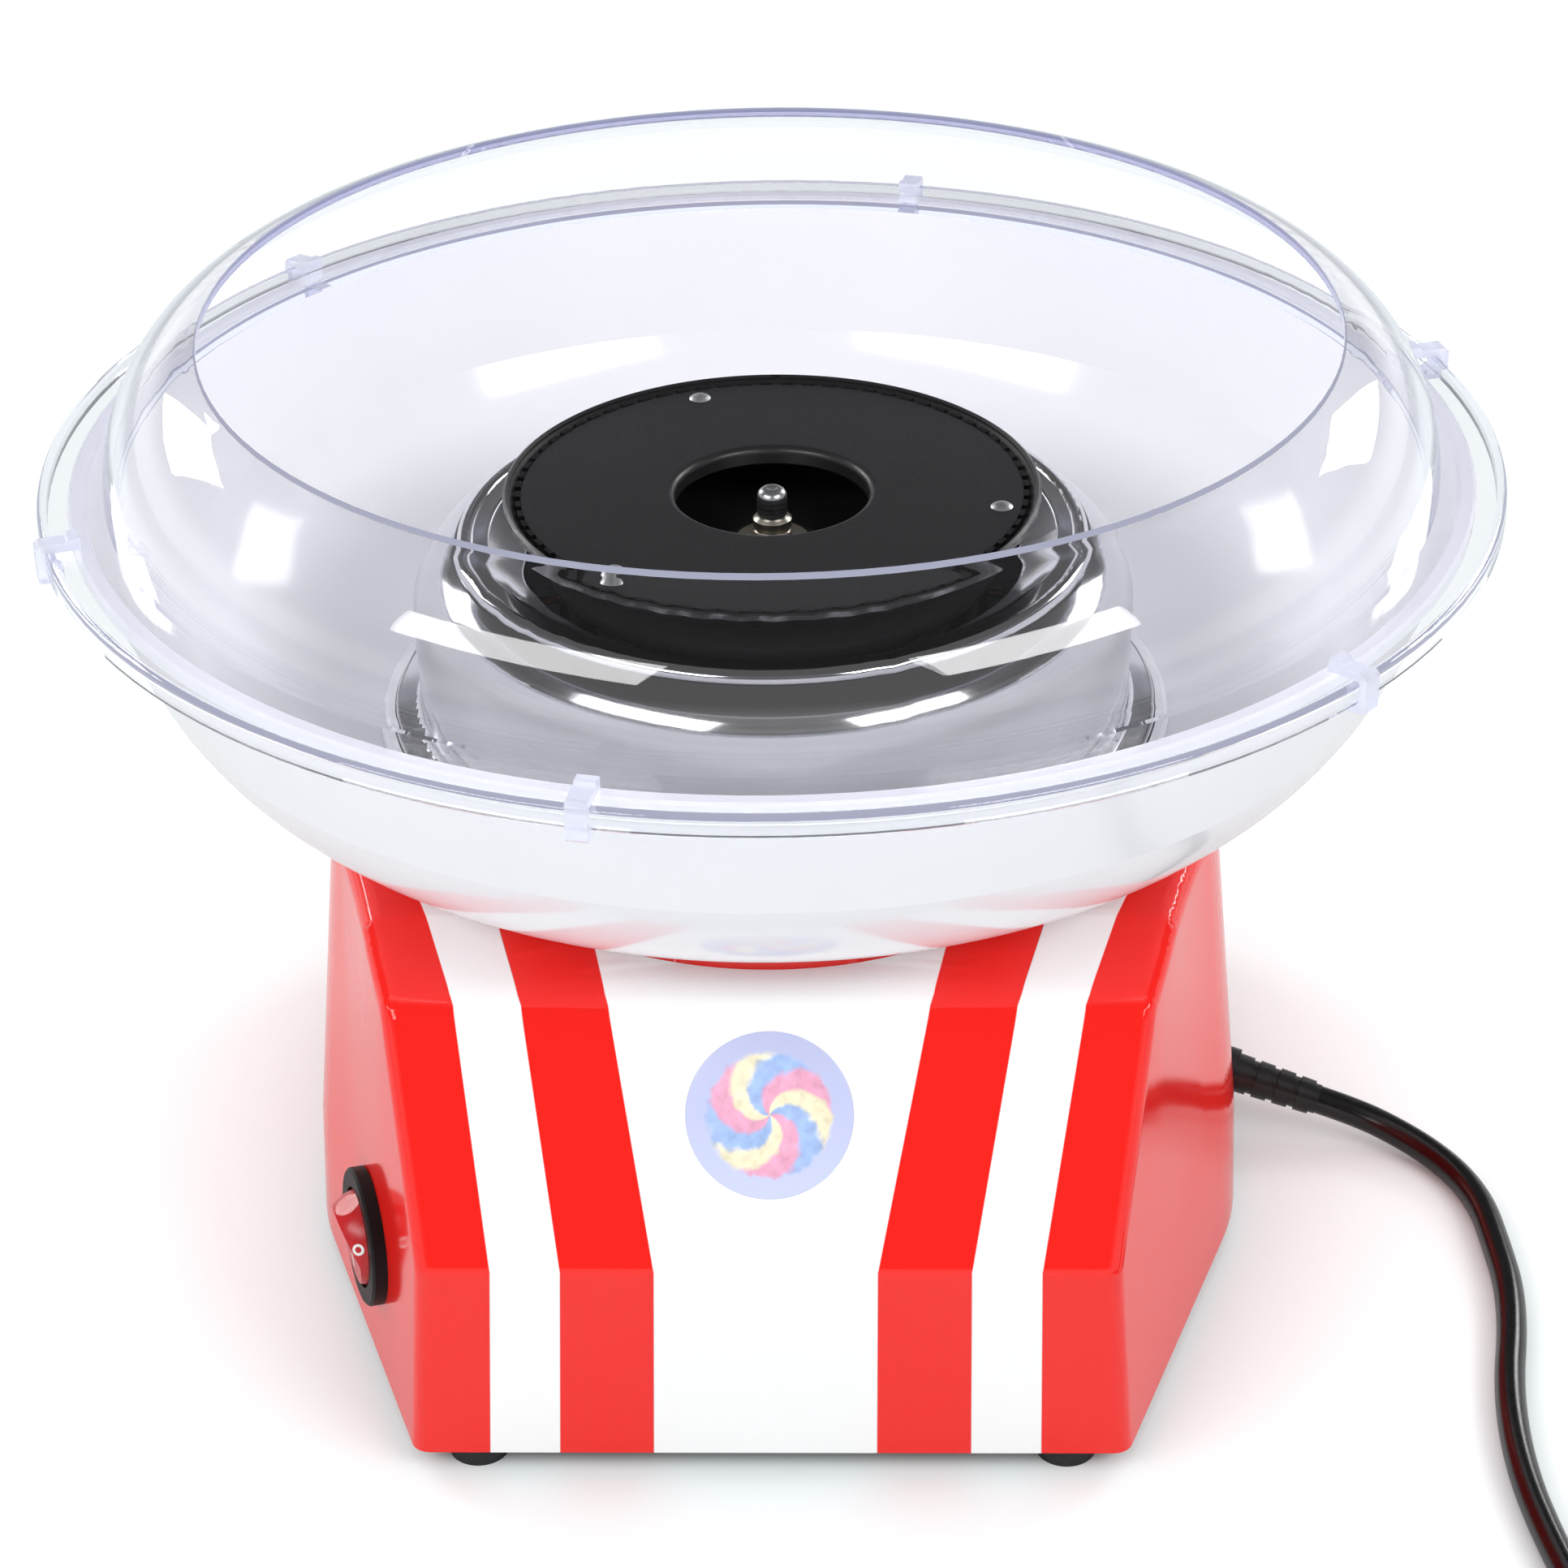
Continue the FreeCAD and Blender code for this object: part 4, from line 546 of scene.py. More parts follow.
# Polypropylene bottom off a matt tool: dull charcoal
PLATE_BLACK = Moulding("black polypropylene", "#1B1B1D", 0.5, 0.6, 0.02, 0.06, 1.49)
# Zinc-plated screws: bluish grey, half bright
ZINC = Metal("zinc plate", "#B9BCC0", 0.3, Lay.TUMBLED, 0.5)
# Deep-drawn plated steel can and bracket: grey with upright streaks
DRAWN_STEEL = Metal("drawn plated steel", "#A9ABAE", 0.28, Lay.DRAWN, 0.6)
# Nylon end cap and terminal block: off-white and waxy
MOTOR_PLASTIC = Moulding("white nylon", "#E4E2DC", 0.4, 0.6, 0.01, 0.04)
# Oil-soaked bushings: brown and grainy
BRONZE = Metal("sintered bronze", "#A87B4A", 0.42, Lay.TUMBLED, 0.4, 0.01)
# Magnets: dark, dusty grey
FERRITE = Moulding("sintered ferrite", "#3A3B3E", 0.6, 0.5, 0.02, 0.1)
# Rotor of stacked sheets: grey with rings
LAMINATION = Metal("stacked steel sheet", "#8E9094", 0.4, Lay.TURNED, 0.5, 0.01)
# Commutator: bright orange-brown, turned smooth by the brushes
COPPER = Metal("hard copper", "#C77B4E", 0.25, Lay.TURNED, 0.4)
# Heater pan: pale grey with wide rings
PRESSED_ALUMINIUM = Metal("pressed aluminium", "#C6C8CB", 0.3, Lay.TURNED, 1.2, 0.003)
# Heater tube, browned by its own heat
ELEMENT = Metal("oxidised heater tube", "#5E5850", 0.45, Lay.TUMBLED, 1.5, 0.006)
# Ceramic posts: cream and chalky
CERAMIC = Moulding("unglazed steatite", "#E9E4D8", 0.65, 0.6, 0.02, 0.08)
# Cut-off's body: dark brown with a dull shine
PHENOLIC = Moulding("brown phenolic", "#2B211C", 0.4, 0.6, 0.01, 0.08)
# Circuit board: green under a lacquer
BOARD = Moulding("green circuit board", "#1F5A33", 0.3, 0.9, 0.006, 0.1)
# Diodes' bodies: flat black
EPOXY = Moulding("black epoxy", "#17181A", 0.45, 0.5, 0.01, 0.05)
# Switch tabs: pale yellow-grey
BRASS = Metal("tinned brass", "#C8B98A", 0.3, Lay.TUMBLED, 0.5)


# ---- Making pieces ----
def eased(share: float) -> float:
    """Returns a share held between 0 and 1, and eased at both ends."""
    held = min(max(share, 0.0), 1.0)
    return held * held * (3.0 - 2.0 * held)


def begin(add: Callable[..., Any], name: str, **place: Any) -> bpy.types.Object:
    """Adds a primitive with nothing else selected, and opens it for editing.

    Args:
        add: The operator that adds the primitive.
        name: The piece's name.
        place: The primitive's size, location and rotation.

    Returns:
        The new object, in edit mode with all of it selected.
    """
    bpy.ops.object.select_all(action="DESELECT")
    add(**place)
    piece = bpy.context.active_object
    piece.name = name
    bpy.ops.object.mode_set(mode="EDIT")
    return piece


def pick(piece: bpy.types.Object, test: Callable[[Vector, Vector], bool]) -> None:
    """Selects the faces that pass a test, and nothing else.

    Args:
        piece: The object being edited.
        test: A test of a face's centre and normal.
    """
    bpy.ops.mesh.select_all(action="DESELECT")
    mesh = bmesh.from_edit_mesh(piece.data)
    for face in mesh.faces:
        if test(face.calc_center_median(), face.normal):
            face.select = True
    mesh.select_flush(True)
    bmesh.update_edit_mesh(piece.data)


def thicken(depth_mm: float) -> None:
    """Raises all of the piece being edited along its own Z, and turns its faces outwards.

    Args:
        depth_mm: How far, in millimetres.
    """
    bpy.ops.mesh.select_all(action="SELECT")
    bpy.ops.mesh.extrude_region_move(
        TRANSFORM_OT_translate={"value": (0.0, 0.0, depth_mm * MM), "orient_type": "LOCAL"})
    bpy.ops.mesh.select_all(action="SELECT")
    bpy.ops.mesh.normals_make_consistent(inside=False)


def choose(piece: bpy.types.Object) -> None:
    """Selects one object alone, and makes it the active one."""
    bpy.ops.object.select_all(action="DESELECT")
    piece.select_set(True)
    bpy.context.view_layer.objects.active = piece


def end(piece: bpy.types.Object, smooth: float = 35.0) -> None:
    """Closes a piece, puts its place into its mesh and smooths its gentle edges.

    Args:
        piece: The object being edited.
        smooth: The largest angle, in degrees, that is shaded smooth.
    """
    bpy.ops.object.mode_set(mode="OBJECT")
    choose(piece)
    bpy.ops.object.transform_apply(location=True, rotation=True, scale=True)
    bpy.ops.object.shade_smooth_by_angle(angle=math.radians(smooth))


def fit(piece: bpy.types.Object, body: str, finish: Finish) -> None:
    """Fixes a piece to a body, with its material.

    Args:
        piece: The finished piece.
        body: The body that it moves with.
        finish: Its finish.
    """
    piece.data.materials.clear()
    piece.data.materials.append(finish.material())
    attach(piece, body)
    log.info("made %s in %s on %s", piece.name, finish.name, body)


def dress(finishes: dict[str, Finish]) -> None:
    """Gives nodes of the machine their materials.

    Args:
        finishes: For each node's name, its finish.
    """
    for name, finish in finishes.items():
        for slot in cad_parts[name].material_slots:
            slot.material = finish.material()
        log.info("dressed %s in %s", name, finish.name)


# ---- Studio ----
@dataclass(frozen=True)
class Softbox:
    """A large soft lamp, by its direction in degrees and its size and distance in metres."""

    name: str
    azimuth: float
    height: float
    width: float
    tall: float
    power: float
    distance: float = 1.3


@dataclass
class Studio:
    """Camera, pale floor, soft lamps and white surroundings.

    The camera is given by its lens and by its place round the point that it aims at. The room gives
    the light called sky to what is matt, and is as dark as dark, high up, in what is glossy. The
    floor glows by itself, with painted shade close under things and a painted falloff away from the middle,
    and less again in its own light.
    """

    lens: float = 93.44
    sensor: float = 36.0
    distance: float = 0.850
    azimuth: float = 1.283
    elevation: float = 30.11
    roll: float = 0.732
    aim: Point = (1.653 * MM, 0.037 * MM, 91.74 * MM)
    lamp_centre: Point = (0.0, 0.0, 0.12)
    floor_side: float = 12.0
    floor_drop: float = 0.05
    paper: str = "#CDD4D5"
    softboxes: tuple[Softbox, ...] = (
        Softbox("front_left", -42.0, 34.0, 0.92, 0.32, 6.4),
        Softbox("front_right", 46.0, 34.0, 0.72, 0.32, 6.0),
        Softbox("rear_left", -130.0, 24.0, 0.42, 0.34, 4.0),
        Softbox("rear_right", 132.0, 24.0, 0.42, 0.34, 4.0),
    )
    sky: float = 0.56
    dark: float = 0.12
    dark_rise: tuple[float, float] = (0.06, 0.3)
    # The floor's glow near and far, where its painted falloff runs, and how far its painted shade reaches
    # under things
    floor_glow: tuple[float, float] = (0.5, 0.4)
    floor_fade: tuple[float, float] = (0.25, 0.75)
    floor_reach: float = 0.06
    floor_share: float = 0.4

    def direction(self, azimuth: float, elevation: float) -> Vector:
        """Returns the unit vector to a place seen from the machine's front, in degrees."""
        turn, rise = math.radians(azimuth), math.radians(elevation)
        return Vector((math.sin(turn) * math.cos(rise), -math.cos(turn) * math.cos(rise), math.sin(rise)))

    def camera(self) -> bpy.types.Object:
        """Makes the camera, whose lens is for a square image.

        Returns:
            The camera's object.
        """
        data = bpy.data.cameras.new("camera")
        data.lens = self.lens
        data.sensor_width = self.sensor
        data.sensor_fit = "HORIZONTAL"
        data.clip_end = 50.0
        back = self.direction(self.azimuth, self.elevation)
        turn = math.radians(self.azimuth)
        right = Vector((math.cos(turn), math.sin(turn), 0.0))
        up = back.cross(right)
        tilt = math.radians(self.roll)
        right, up = (right * math.cos(tilt) - up * math.sin(tilt),
                     right * math.sin(tilt) + up * math.cos(tilt))
        camera = bpy.data.objects.new("camera", data)
        bpy.context.scene.collection.objects.link(camera)
        placed = Matrix((right, up, back)).transposed().to_4x4()
        placed.translation = Vector(self.aim) + back * self.distance
        camera.matrix_world = placed
        bpy.context.scene.camera = camera
        return camera

    def floor(self) -> bpy.types.Object:
        """Makes the pale floor: it keeps the shadows and glows to white, with painted shade close under
        things and a painted falloff away from the middle.

        Returns:
            The floor's object.
        """
        bpy.ops.object.select_all(action="DESELECT")
        bpy.ops.mesh.primitive_plane_add(size=self.floor_side, location=(0.0, 0.0, -self.floor_drop * MM))
        floor = bpy.context.active_object
        floor.name = "studio_floor"
        made = bpy.data.materials.new("matt white paper")
        tree = fresh_tree(made)
        paper = add_node(tree, "ShaderNodeBsdfDiffuse", inputs={"Color": linear(self.paper)})
        # Painted shade: ambient occlusion dims the floor's glow close under things
        painted_contact_shade = add_node(tree, "ShaderNodeAmbientOcclusion", {"samples": 8}, {
            "Distance": self.floor_reach})
        path = add_node(tree, "ShaderNodeLightPath").outputs
        through = sums(tree, "MAXIMUM", path["Is Camera Ray"], path["Is Transmission Ray"])
        seen = sums(tree, "MAXIMUM", through, self.floor_share)
        away = add_node(tree, "ShaderNodeVectorMath", {"operation": "LENGTH"}, {0: place_on(tree)})
        # Painted falloff: the glow is stronger near the middle and weaker farther out
        spread = remap(tree, away.outputs["Value"], *self.floor_fade, *self.floor_glow, smooth=True)
        lift = sums(tree, "MULTIPLY", seen, sums(tree, "MULTIPLY", painted_contact_shade.outputs["AO"], spread))
        glow = add_node(tree, "ShaderNodeEmission", inputs={"Strength": lift})
        both = add_node(tree, "ShaderNodeAddShader", inputs={
            0: paper.outputs["BSDF"], 1: glow.outputs["Emission"]})
        add_node(tree, "ShaderNodeOutputMaterial", inputs={"Surface": both.outputs["Shader"]})
        floor.data.materials.append(made)
        return floor

    def lamps(self) -> None:
        """Makes the softboxes, each facing the bowl."""
        centre = Vector(self.lamp_centre)
        for box in self.softboxes:
            data = bpy.data.lights.new(box.name, "AREA")
            data.shape = "RECTANGLE"
            data.size = box.width
            data.size_y = box.tall
            data.energy = box.power
            lamp = bpy.data.objects.new(box.name, data)
            bpy.context.scene.collection.objects.link(lamp)
            way = self.direction(box.azimuth, box.height)
            lamp.location = centre + way * box.distance
            lamp.rotation_euler = way.to_track_quat("Z", "Y").to_euler()

    def surroundings(self) -> None:
        """Makes the room: plain light on what is matt, white where it is seen, dark up high in a gloss."""
        world = bpy.data.worlds.new("white room")
        tree = fresh_tree(world)
        path = add_node(tree, "ShaderNodeLightPath").outputs
        height = add_node(tree, "ShaderNodeSeparateXYZ", inputs={0: place_on(tree, "Generated")}).outputs["Z"]
        mirrored = remap(tree, height, *self.dark_rise, 1.0, self.dark, smooth=True)
        room, seen, gloss = (
            add_node(tree, "ShaderNodeBackground", inputs={
                "Color": linear("#FFFFFF"), "Strength": strength}).outputs["Background"]
            for strength in (self.sky, 1.0, mirrored))
        either = sums(tree, "MAXIMUM", path["Is Glossy Ray"], path["Is Transmission Ray"])
        unseen = add_node(tree, "ShaderNodeMixShader", inputs={0: either, 1: room, 2: gloss})
        whole = add_node(tree, "ShaderNodeMixShader", inputs={
            0: path["Is Camera Ray"], 1: unseen.outputs["Shader"], 2: seen})
        add_node(tree, "ShaderNodeOutputWorld", inputs={"Surface": whole.outputs["Shader"]})
        bpy.context.scene.world = world
        bpy.context.scene.view_settings.view_transform = "Standard"

    def build(self) -> None:
        """Sets up the whole studio."""
        self.camera()
        self.floor()
        self.lamps()
        self.surroundings()
        log.info("studio: lens %.2f mm, %d softboxes", self.lens, len(self.softboxes))


# ---- Mains lead ----
@dataclass
class MainsLead:
    """The cord from the strain relief to its plug, with the spare length in a flat coil.

    Each turn of the coil has a radius and a height. Just before its end it crosses over to the next
    one's radius, after it has climbed to its height; both are shares of a turn.
    """

    diameter: float = 6.2
    wall: Point = (97.193, 10.6, 13.3)
    way_out: Point = (0.944, -0.25, -0.217)
    relief: float = 22.0
    straight: float = 8.8
    falling: tuple[Point, ...] = ((134.3, -1.4, 4.7), (141.3, -7.9, 3.6))
    lying: tuple[tuple[float, float], ...] = (
        (146.8, -16.5), (150.1, -27.5), (151.1, -40.5), (151.9, -55.0), (150.5, -70.4),
        (147.6, -86.2), (146.3, -102.1), (146.6, -117.6), (148.3, -131.5), (150.6, -144.3),
        (153.4, -156.5), (156.6, -168.0))
    rest: float = 3.2
    coil_centre: tuple[float, float] = (198.0, -182.0)
    turns: tuple[tuple[float, float], ...] = (
        (40.6, 3.2), (34.3, 3.2), (28.0, 3.2), (31.2, 9.5), (37.4, 9.5))
    points_a_turn: int = 18
    crossover: float = 0.22
    climb: float = 0.34
    last_turn: float = 0.5
    tail: tuple[Point, ...] = ((238.9, -173.0, 9.1), (239.0, -165.0, 7.6), (238.6, -157.0, 6.9),
                               (238.6, -148.0, 6.9))
    length: float = 1.21

    def tip(self) -> Vector:
        """Returns the end of the strain relief, where the cord leaves it, in millimetres."""
        return Vector(self.wall) + Vector(self.way_out).normalized() * self.relief

    def coil(self) -> list[Point]:
        """Works out the coil's points, turn by turn, with a short crossover to each next one.

        Returns:
            The points, in millimetres.
        """
        slack = (1.0 + math.cos(math.pi / self.points_a_turn)) / 2.0
        count = round((len(self.turns) - 1 + self.last_turn) * self.points_a_turn)
        points = []
        for index in range(1, count + 1):
            done = index / self.points_a_turn
            turn = min(int(done), len(self.turns) - 1)
            following = self.turns[min(turn + 1, len(self.turns) - 1)]
            left = turn + 1.0 - done
            share = eased(1.0 - left / self.crossover)
            radius = self.turns[turn][0] * (1 - share) + following[0] * share
            share = eased(1.0 - (left - self.crossover) / self.climb)
            height = self.turns[turn][1] * (1 - share) + following[1] * share
            angle = math.pi + 2.0 * math.pi * done
            points.append((self.coil_centre[0] + radius / slack * math.cos(angle),
                           self.coil_centre[1] + radius / slack * math.sin(angle), height))
        return points

    def route(self) -> list[Point]:
        """Returns the cord's points from the strain relief to the plug, in millimetres."""
        tip = self.tip()
        start = [tuple(tip), tuple(tip + Vector(self.way_out).normalized() * self.straight)]
        lying = [(x, y, self.rest) for x, y in self.lying]
        return start + list(self.falling) + lying + self.coil() + list(self.tail)

    def cord(self) -> bpy.types.Object:
        """Makes the cord as one smooth curve.

        Returns:
            The cord's object.
        """
        data = bpy.data.curves.new("mains_cord", "CURVE")
        data.dimensions = "3D"
        data.bevel_depth = self.diameter / 2 * MM
        data.bevel_resolution = 8
        data.resolution_u = 10
        data.use_fill_caps = True
        spline = data.splines.new("NURBS")
        route = self.route()
        spline.points.add(len(route) - 1)
        for point, place in zip(spline.points, route):
            point.co = (place[0] * MM, place[1] * MM, place[2] * MM, 1.0)
        spline.order_u = 3
        spline.use_endpoint_u = True
        cord = bpy.data.objects.new("mains_cord", data)
        bpy.context.scene.collection.objects.link(cord)
        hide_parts("power_cord", "cord_coil", "plug_tail")
        fit(cord, "machine", PVC)
        return cord

    def build(self) -> None:
        """Makes the cord and dresses what is on it."""
        self.cord()
        dress({"strain_relief": PVC_HARD, "plug": PVC_HARD, "plug_pins": NICKEL})


# ---- Housing ----
@dataclass
class Housing:
    """Striped shell on rubber feet, with its bottom plate and the round label on its front.

    The shell is its node's, changed a little: above lean_start the side walls lean in, more and more
    from the first to the last place of lean_from, and the fold at the kink gets a larger radius. It
    is cut into strips first, so that it can follow; each cuts row is the first place, the last one
    and their number.
    """

    label_centre: Point = (0.4, -101.54, 78.33)
    label_radius: float = 15.9
    label_thickness: float = 0.35
    label_edge: float = 0.2
    panel_rise: tuple[float, float] = (25.0, 45.5)
    deck_rise: tuple[float, float] = (21.0, 5.5)
    kink: tuple[float, float] = (-91.0, 97.5)
    kink_radius: float = 12.0
    half_width: float = 97.5
    front_half_width: float = 69.8
    front_y: float = -111.5
    splay: float = 0.34
    draft: float = 0.037
    foot: float = 5.0
    lean_start: float = 28.0
    lean_in: float = 0.056
    lean_from: tuple[float, float] = (-93.0, -35.0)
    lean_beside: tuple[float, float] = (0.87, 0.92)
    weld: float = 0.002
    cuts_up: tuple[float, float, int] = (22.0, 100.0, 14)
    cuts_back: tuple[float, float, int] = (-106.0, 90.0, 20)
    cuts_kink: tuple[float, float, int] = (-97.5, -84.5, 9)

    def lean(self) -> float:
        """Returns the angle of the middle front panel above the table."""
        return math.atan2(self.panel_rise[1], self.panel_rise[0])

    def reach(self, y: float, z: float) -> float:
        """Returns the node's half width at a place along it, in millimetres."""
        shrink = self.draft * (z - self.foot)
        front = self.front_half_width + self.splay * (y - self.front_y)
        return min(self.half_width - shrink, front - shrink * math.hypot(1.0, self.splay))

    def moved(self, x: float, y: float, z: float) -> Point:
        """Returns where a point of the node's wall goes, in millimetres.

        Args:
            x: The point's place across the machine.
            y: Its place from the front to the back.
            z: Its height.

        Returns:
            The point, leaned in and laid on the softer fold.
        """
        lower = self.lean()
        upper = math.atan2(self.deck_rise[1], self.deck_rise[0])
        middle = (lower + upper) / 2.0
        depth = self.kink_radius / math.cos((lower - upper) / 2.0)
        centre = (self.kink[0] + depth * math.sin(middle), self.kink[1] - depth * math.cos(middle))
        out = (y - centre[0], z - centre[1])
        far = math.hypot(*out)
        if far > self.kink_radius and upper <= math.atan2(-out[0], out[1]) <= lower:
            y = centre[0] + out[0] * self.kink_radius / far
            z = centre[1] + out[1] * self.kink_radius / far
        first, last = self.lean_beside
        beside = min(max((abs(x) / self.reach(y, z) - first) / (last - first), 0.0), 1.0)
        first, last = self.lean_from
        shift = self.lean_in * max(z - self.lean_start, 0.0) * beside * eased((y - first) / (last - first))
        return x - math.copysign(shift, x), y, z

    def shell(self) -> bpy.types.Object:
        """Makes the shell from its node: cut finely, then leaned in and folded more softly.

        Returns:
            The shell's object.
        """
        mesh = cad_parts["housing"].data.copy()
        shell = bpy.data.objects.new("housing_shell", mesh)
        bpy.context.scene.collection.objects.link(shell)
        choose(shell)
        bpy.ops.object.mode_set(mode="EDIT")
        bpy.ops.mesh.select_all(action="SELECT")
        bpy.ops.mesh.remove_doubles(threshold=self.weld * MM)
        for axis, (first, last, count) in ((2, self.cuts_up), (1, self.cuts_back), (1, self.cuts_kink)):
            for index in range(count):
                at, across = [0.0, 0.0, 0.0], [0.0, 0.0, 0.0]
                at[axis] = (first + (last - first) * index / (count - 1)) * MM
                across[axis] = 1.0
                bpy.ops.mesh.select_all(action="SELECT")
                bpy.ops.mesh.bisect(plane_co=at, plane_no=across)
        bpy.ops.object.mode_set(mode="OBJECT")
        for vertex in mesh.vertices:
            place = self.moved(*(part / MM for part in vertex.co))
            vertex.co = [part * MM for part in place]
        bpy.ops.object.shade_smooth_by_angle(angle=math.radians(30.0))
        # The narrow strips count for little, so the wide ones shade as one surface
        even = shell.modifiers.new("even shading", "WEIGHTED_NORMAL")
        even.keep_sharp = True
        even.weight = 80
        bpy.ops.object.modifier_apply(modifier=even.name)
        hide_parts("housing")
        fit(shell, "machine", SHELL)
        return shell

    def label(self) -> bpy.types.Object:
        """Makes the round label on the middle panel, with a rolled edge.

        Returns:
            The label's object.
        """
        label = begin(bpy.ops.mesh.primitive_circle_add, "front_label", vertices=128,
                      radius=self.label_radius * MM, fill_type="NGON",
                      location=tuple(part * MM for part in self.label_centre),
                      rotation=(self.lean(), 0.0, 0.0))
        thicken(self.label_thickness)
        pick(label, lambda centre, normal: normal.z > 0.5)
        bpy.ops.mesh.bevel(offset=self.label_edge * MM, segments=3, affect="EDGES")
        end(label)
        # Print under a film: pastel colours with a soft sheen
        film = SweetBadge(
            "printed label film", "#C6CCF0", ("#F3AECB", "#A9C4F4", "#FAF0CF"),
            tuple(part * MM for part in self.label_centre), self.lean(), self.label_radius * MM)
        fit(label, "machine", film)
        return label

    def build(self) -> None:
        """Dresses the shell, the plate and the feet, and adds the label."""
        self.shell()
        dress({"base_plate": PLATE_BLACK, "foot_front_left": RUBBER,
               "foot_front_right": RUBBER, "foot_rear_left": RUBBER, "foot_rear_right": RUBBER,
               "foot_screws": ZINC, "plate_screws": ZINC})
        self.label()


# ---- Switch ----
@dataclass
class PowerSwitch:
    """Round rocker switch on the left wall, with its printed marks: a ring twice and a bar."""

    wall: Point = (-80.0957, -78.0, 33.0)
    outward: Point = (-1.0, -0.34, 0.039)
    tilt: float = 14.0
    crown_height: float = 4.6
    end_y: float = 8.3
    end_height: float = 5.7
    rocker_radius: float = 9.95
    ring_radius: float = 1.75
    ring_width: float = 0.55
    side_ring_radius: float = 1.2
    side_place: tuple[float, float] = (4.0, 3.75)
    bar_length: float = 3.2
    mark_depth: float = 0.08

    def seat(self) -> Matrix:
        """Returns the switch's own frame: X along the wall, Y up it, Z outwards."""
        out = Vector(self.outward).normalized()
        along = Vector((0.0, 0.0, 1.0)).cross(out).normalized()
        up = out.cross(along)
        placed = Matrix((along, up, out)).transposed().to_4x4()
        placed.translation = Vector(self.wall) * MM
        return placed

    def face(self, half: int, share: float) -> Matrix:
        """Returns a frame on one of the rocker's two flat faces.

        Args:
            half: 1 for the upper face, -1 for the lower one.
            share: How far from the crown to the end, from 0 to 1.

        Returns:
            The frame, with Z out of the face and Y up it.
        """
        slope = math.atan2(self.end_height - self.crown_height, self.end_y) * half
        y = self.end_y * share * half
        z = self.crown_height + (self.end_height - self.crown_height) * share
        tilted = Matrix.Rotation(math.radians(self.tilt), 4, "X")
        place = Matrix.Translation(Vector((0.0, y, z)) * MM) @ Matrix.Rotation(slope, 4, "X")
        return self.seat() @ tilted @ place

    def side(self) -> Matrix:
        """Returns a frame on the rocker's round side towards the front, sunk by a mark's depth."""
        up, out = self.side_place
        across = math.sqrt(self.rocker_radius ** 2 - up ** 2 - out ** 2)
        normal = Vector((across, up, out)).normalized()
        tilted = Matrix.Rotation(math.radians(self.tilt), 4, "X")
        place = Matrix.Translation(normal * (self.rocker_radius - self.mark_depth) * MM)
        return self.seat() @ tilted @ place @ normal.to_track_quat("Z", "Y").to_matrix().to_4x4()

    def ring(self, name: str, at: Matrix, radius: float) -> None:
        """Makes one printed ring.

        Args:
            name: The ring's name.
            at: Its frame on the rocker.
            radius: Its outer radius, in millimetres.
        """
        ring = begin(bpy.ops.mesh.primitive_circle_add, name, location=at.to_translation(),
                     rotation=at.to_euler(), vertices=48, radius=radius * MM, fill_type="NGON")
        bpy.ops.mesh.inset(thickness=self.ring_width * MM)
        bpy.ops.mesh.delete(type="FACE")
        self.finish(ring)

    def bar(self, name: str, at: Matrix) -> None:
        """Makes the printed bar.

        Args:
            name: The bar's name.
            at: Its frame on the rocker.
        """
        bar = begin(bpy.ops.mesh.primitive_plane_add, name, location=at.to_translation(),
                    rotation=at.to_euler(), size=self.bar_length * MM)
        bpy.ops.transform.resize(value=(self.ring_width / self.bar_length, 1.0, 1.0), orient_type="LOCAL")
        self.finish(bar)

    def finish(self, mark: bpy.types.Object) -> None:
        """Gives a mark its thickness and its ink.

        Args:
            mark: The mark's flat outline, being edited.
        """
        thicken(self.mark_depth)
        end(mark)
        fit(mark, "rocker", MARK_WHITE)

    def build(self) -> None:
        """Dresses the switch and prints its marks."""
        dress({"switch_body": SWITCH_NYLON, "switch_tabs": BRASS, "rocker": ROCKER_RED})
        self.ring("rocker_off_mark", self.face(1, 0.5), self.ring_radius)
        self.ring("rocker_side_mark", self.side(), self.side_ring_radius)
        self.bar("rocker_on_mark", self.face(-1, 0.5))


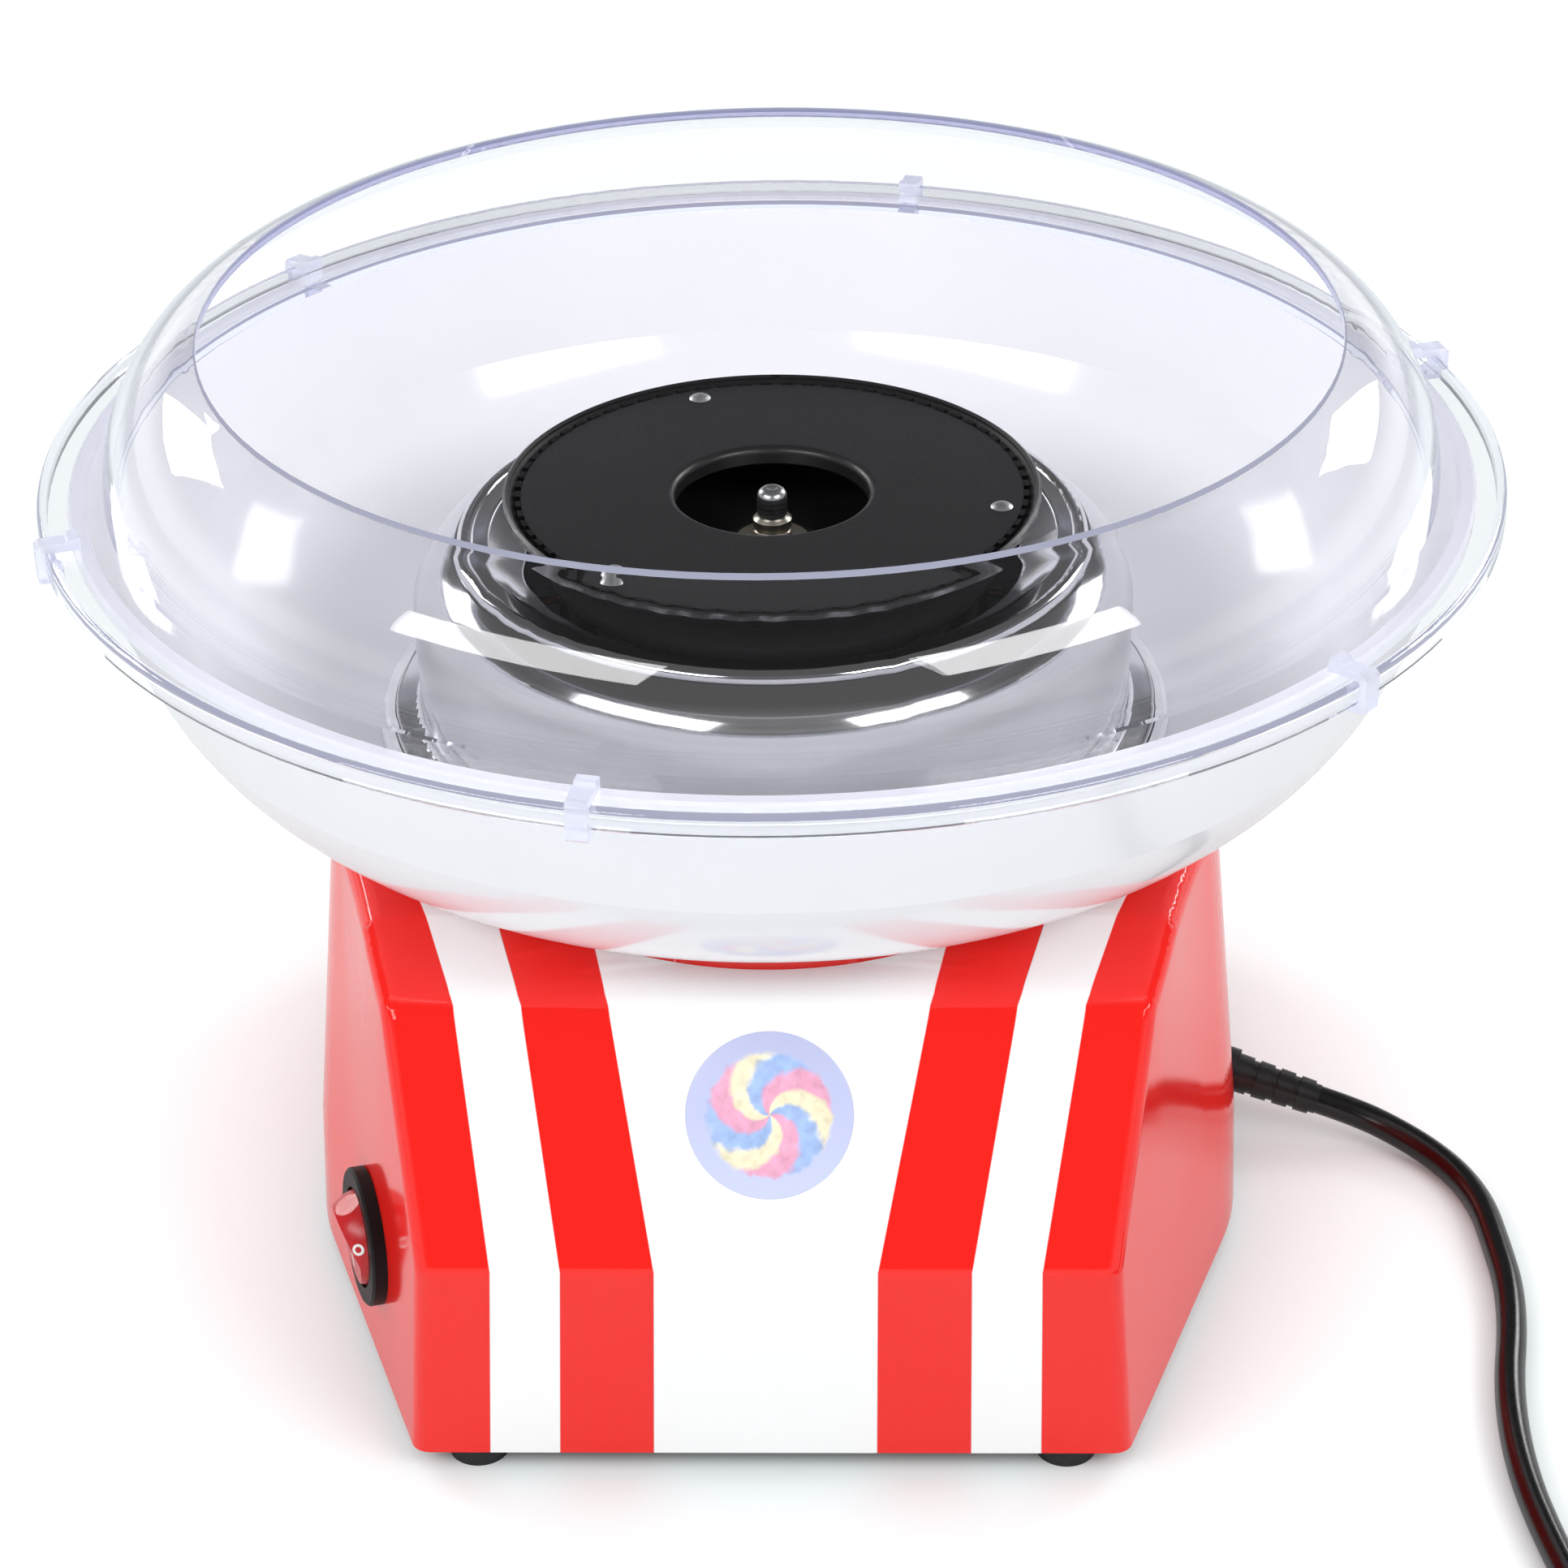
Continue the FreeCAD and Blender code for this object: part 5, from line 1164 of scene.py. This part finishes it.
# ---- The rest of the machine ----
@dataclass
class HeatWell:
    """Spun shroud, heater and pan on the deck."""

    edge_radii: tuple[float, float] = (77.65, 78.3)
    edge_heights: tuple[float, float] = (110.3, 113.4)
    edge_bend: float = 0.25
    finishes: dict[str, Finish] = field(default_factory=lambda: {
        "shroud": SPUN_STEEL, "shroud_screws": ZINC, "heater_pan": PRESSED_ALUMINIUM,
        "heating_element": ELEMENT, "heater_posts": CERAMIC, "thermal_cutoff": PHENOLIC})

    def turned_edge(self) -> bpy.types.Object:
        """Makes the flange's turned-down edge, which hides the spigot from above.

        Returns:
            The edge's object.
        """
        inner, outer = self.edge_radii
        bottom, top = self.edge_heights
        ring = begin(bpy.ops.mesh.primitive_circle_add, "shroud_edge", vertices=192,
                     radius=inner * MM, location=(0.0, 0.0, bottom * MM))
        bpy.ops.mesh.extrude_region_move(TRANSFORM_OT_translate={"value": (0.0, 0.0, 0.0)})
        bpy.ops.transform.resize(value=(outer / inner, outer / inner, 1.0),
                                 center_override=(0.0, 0.0, bottom * MM))
        thicken(top - bottom)
        pick(ring, lambda centre, normal: normal.z > 0.5)
        bpy.ops.mesh.bevel(offset=self.edge_bend * MM, segments=3, affect="EDGES")
        end(ring)
        fit(ring, "machine", SPUN_STEEL)
        return ring

    def build(self) -> None:
        """Dresses the well and turns down the shroud's edge."""
        dress(self.finishes)
        self.turned_edge()


@dataclass
class SpinningHead:
    """Black dish and cover plate, slotted band, rivets and hub."""

    finishes: dict[str, Finish] = field(default_factory=lambda: {
        "head_dish": HEAD_COAT, "head_plate": HEAD_COAT, "head_band": SHADE_DARK_ALUMINIUM,
        "head_rivets": RIVET, "hub": NICKEL})

    def build(self) -> None:
        """Dresses the head."""
        dress(self.finishes)


@dataclass
class Drive:
    """Shaft and motor under the deck."""

    finishes: dict[str, Finish] = field(default_factory=lambda: {
        "shaft": SHAFT_STEEL, "drive_pin": SHAFT_STEEL, "rotor": LAMINATION, "commutator": COPPER,
        "motor_can": DRAWN_STEEL, "motor_end_cap": MOTOR_PLASTIC, "motor_bushings": BRONZE,
        "motor_magnets": FERRITE, "motor_bracket": DRAWN_STEEL, "motor_dampers": RUBBER,
        "bracket_screws": ZINC})

    def build(self) -> None:
        """Dresses the drive."""
        dress(self.finishes)


@dataclass
class Wiring:
    """Terminal block and rectifier on the bottom plate."""

    finishes: dict[str, Finish] = field(default_factory=lambda: {
        "terminal_block": MOTOR_PLASTIC, "rectifier_board": BOARD, "rectifier_diodes": EPOXY})

    def build(self) -> None:
        """Dresses the wiring parts."""
        dress(self.finishes)


@dataclass
class Bowl:
    """White bowl that catches the floss."""

    def build(self) -> None:
        """Dresses the bowl."""
        dress({"bowl": BOWL_WHITE})


@dataclass
class SplashShield:
    """Clear shield with its six clips."""

    clips: int = 6

    def build(self) -> None:
        """Dresses the shield and its clips."""
        dress({"shield": CLEAR})
        dress({f"clip_{number}": FROSTED for number in range(1, self.clips + 1)})


def main() -> None:
    """Builds the studio, the cord and then the machine."""
    logging.basicConfig(level=logging.INFO, format="%(message)s")
    assemblies = [Studio(), MainsLead(), Housing(), PowerSwitch(), HeatWell(), SpinningHead(),
                  Drive(), Wiring(), Bowl(), SplashShield()]
    for assembly in assemblies:
        assembly.build()
        log.info("finished %s", type(assembly).__name__)


if __name__ == "__main__":
    main()
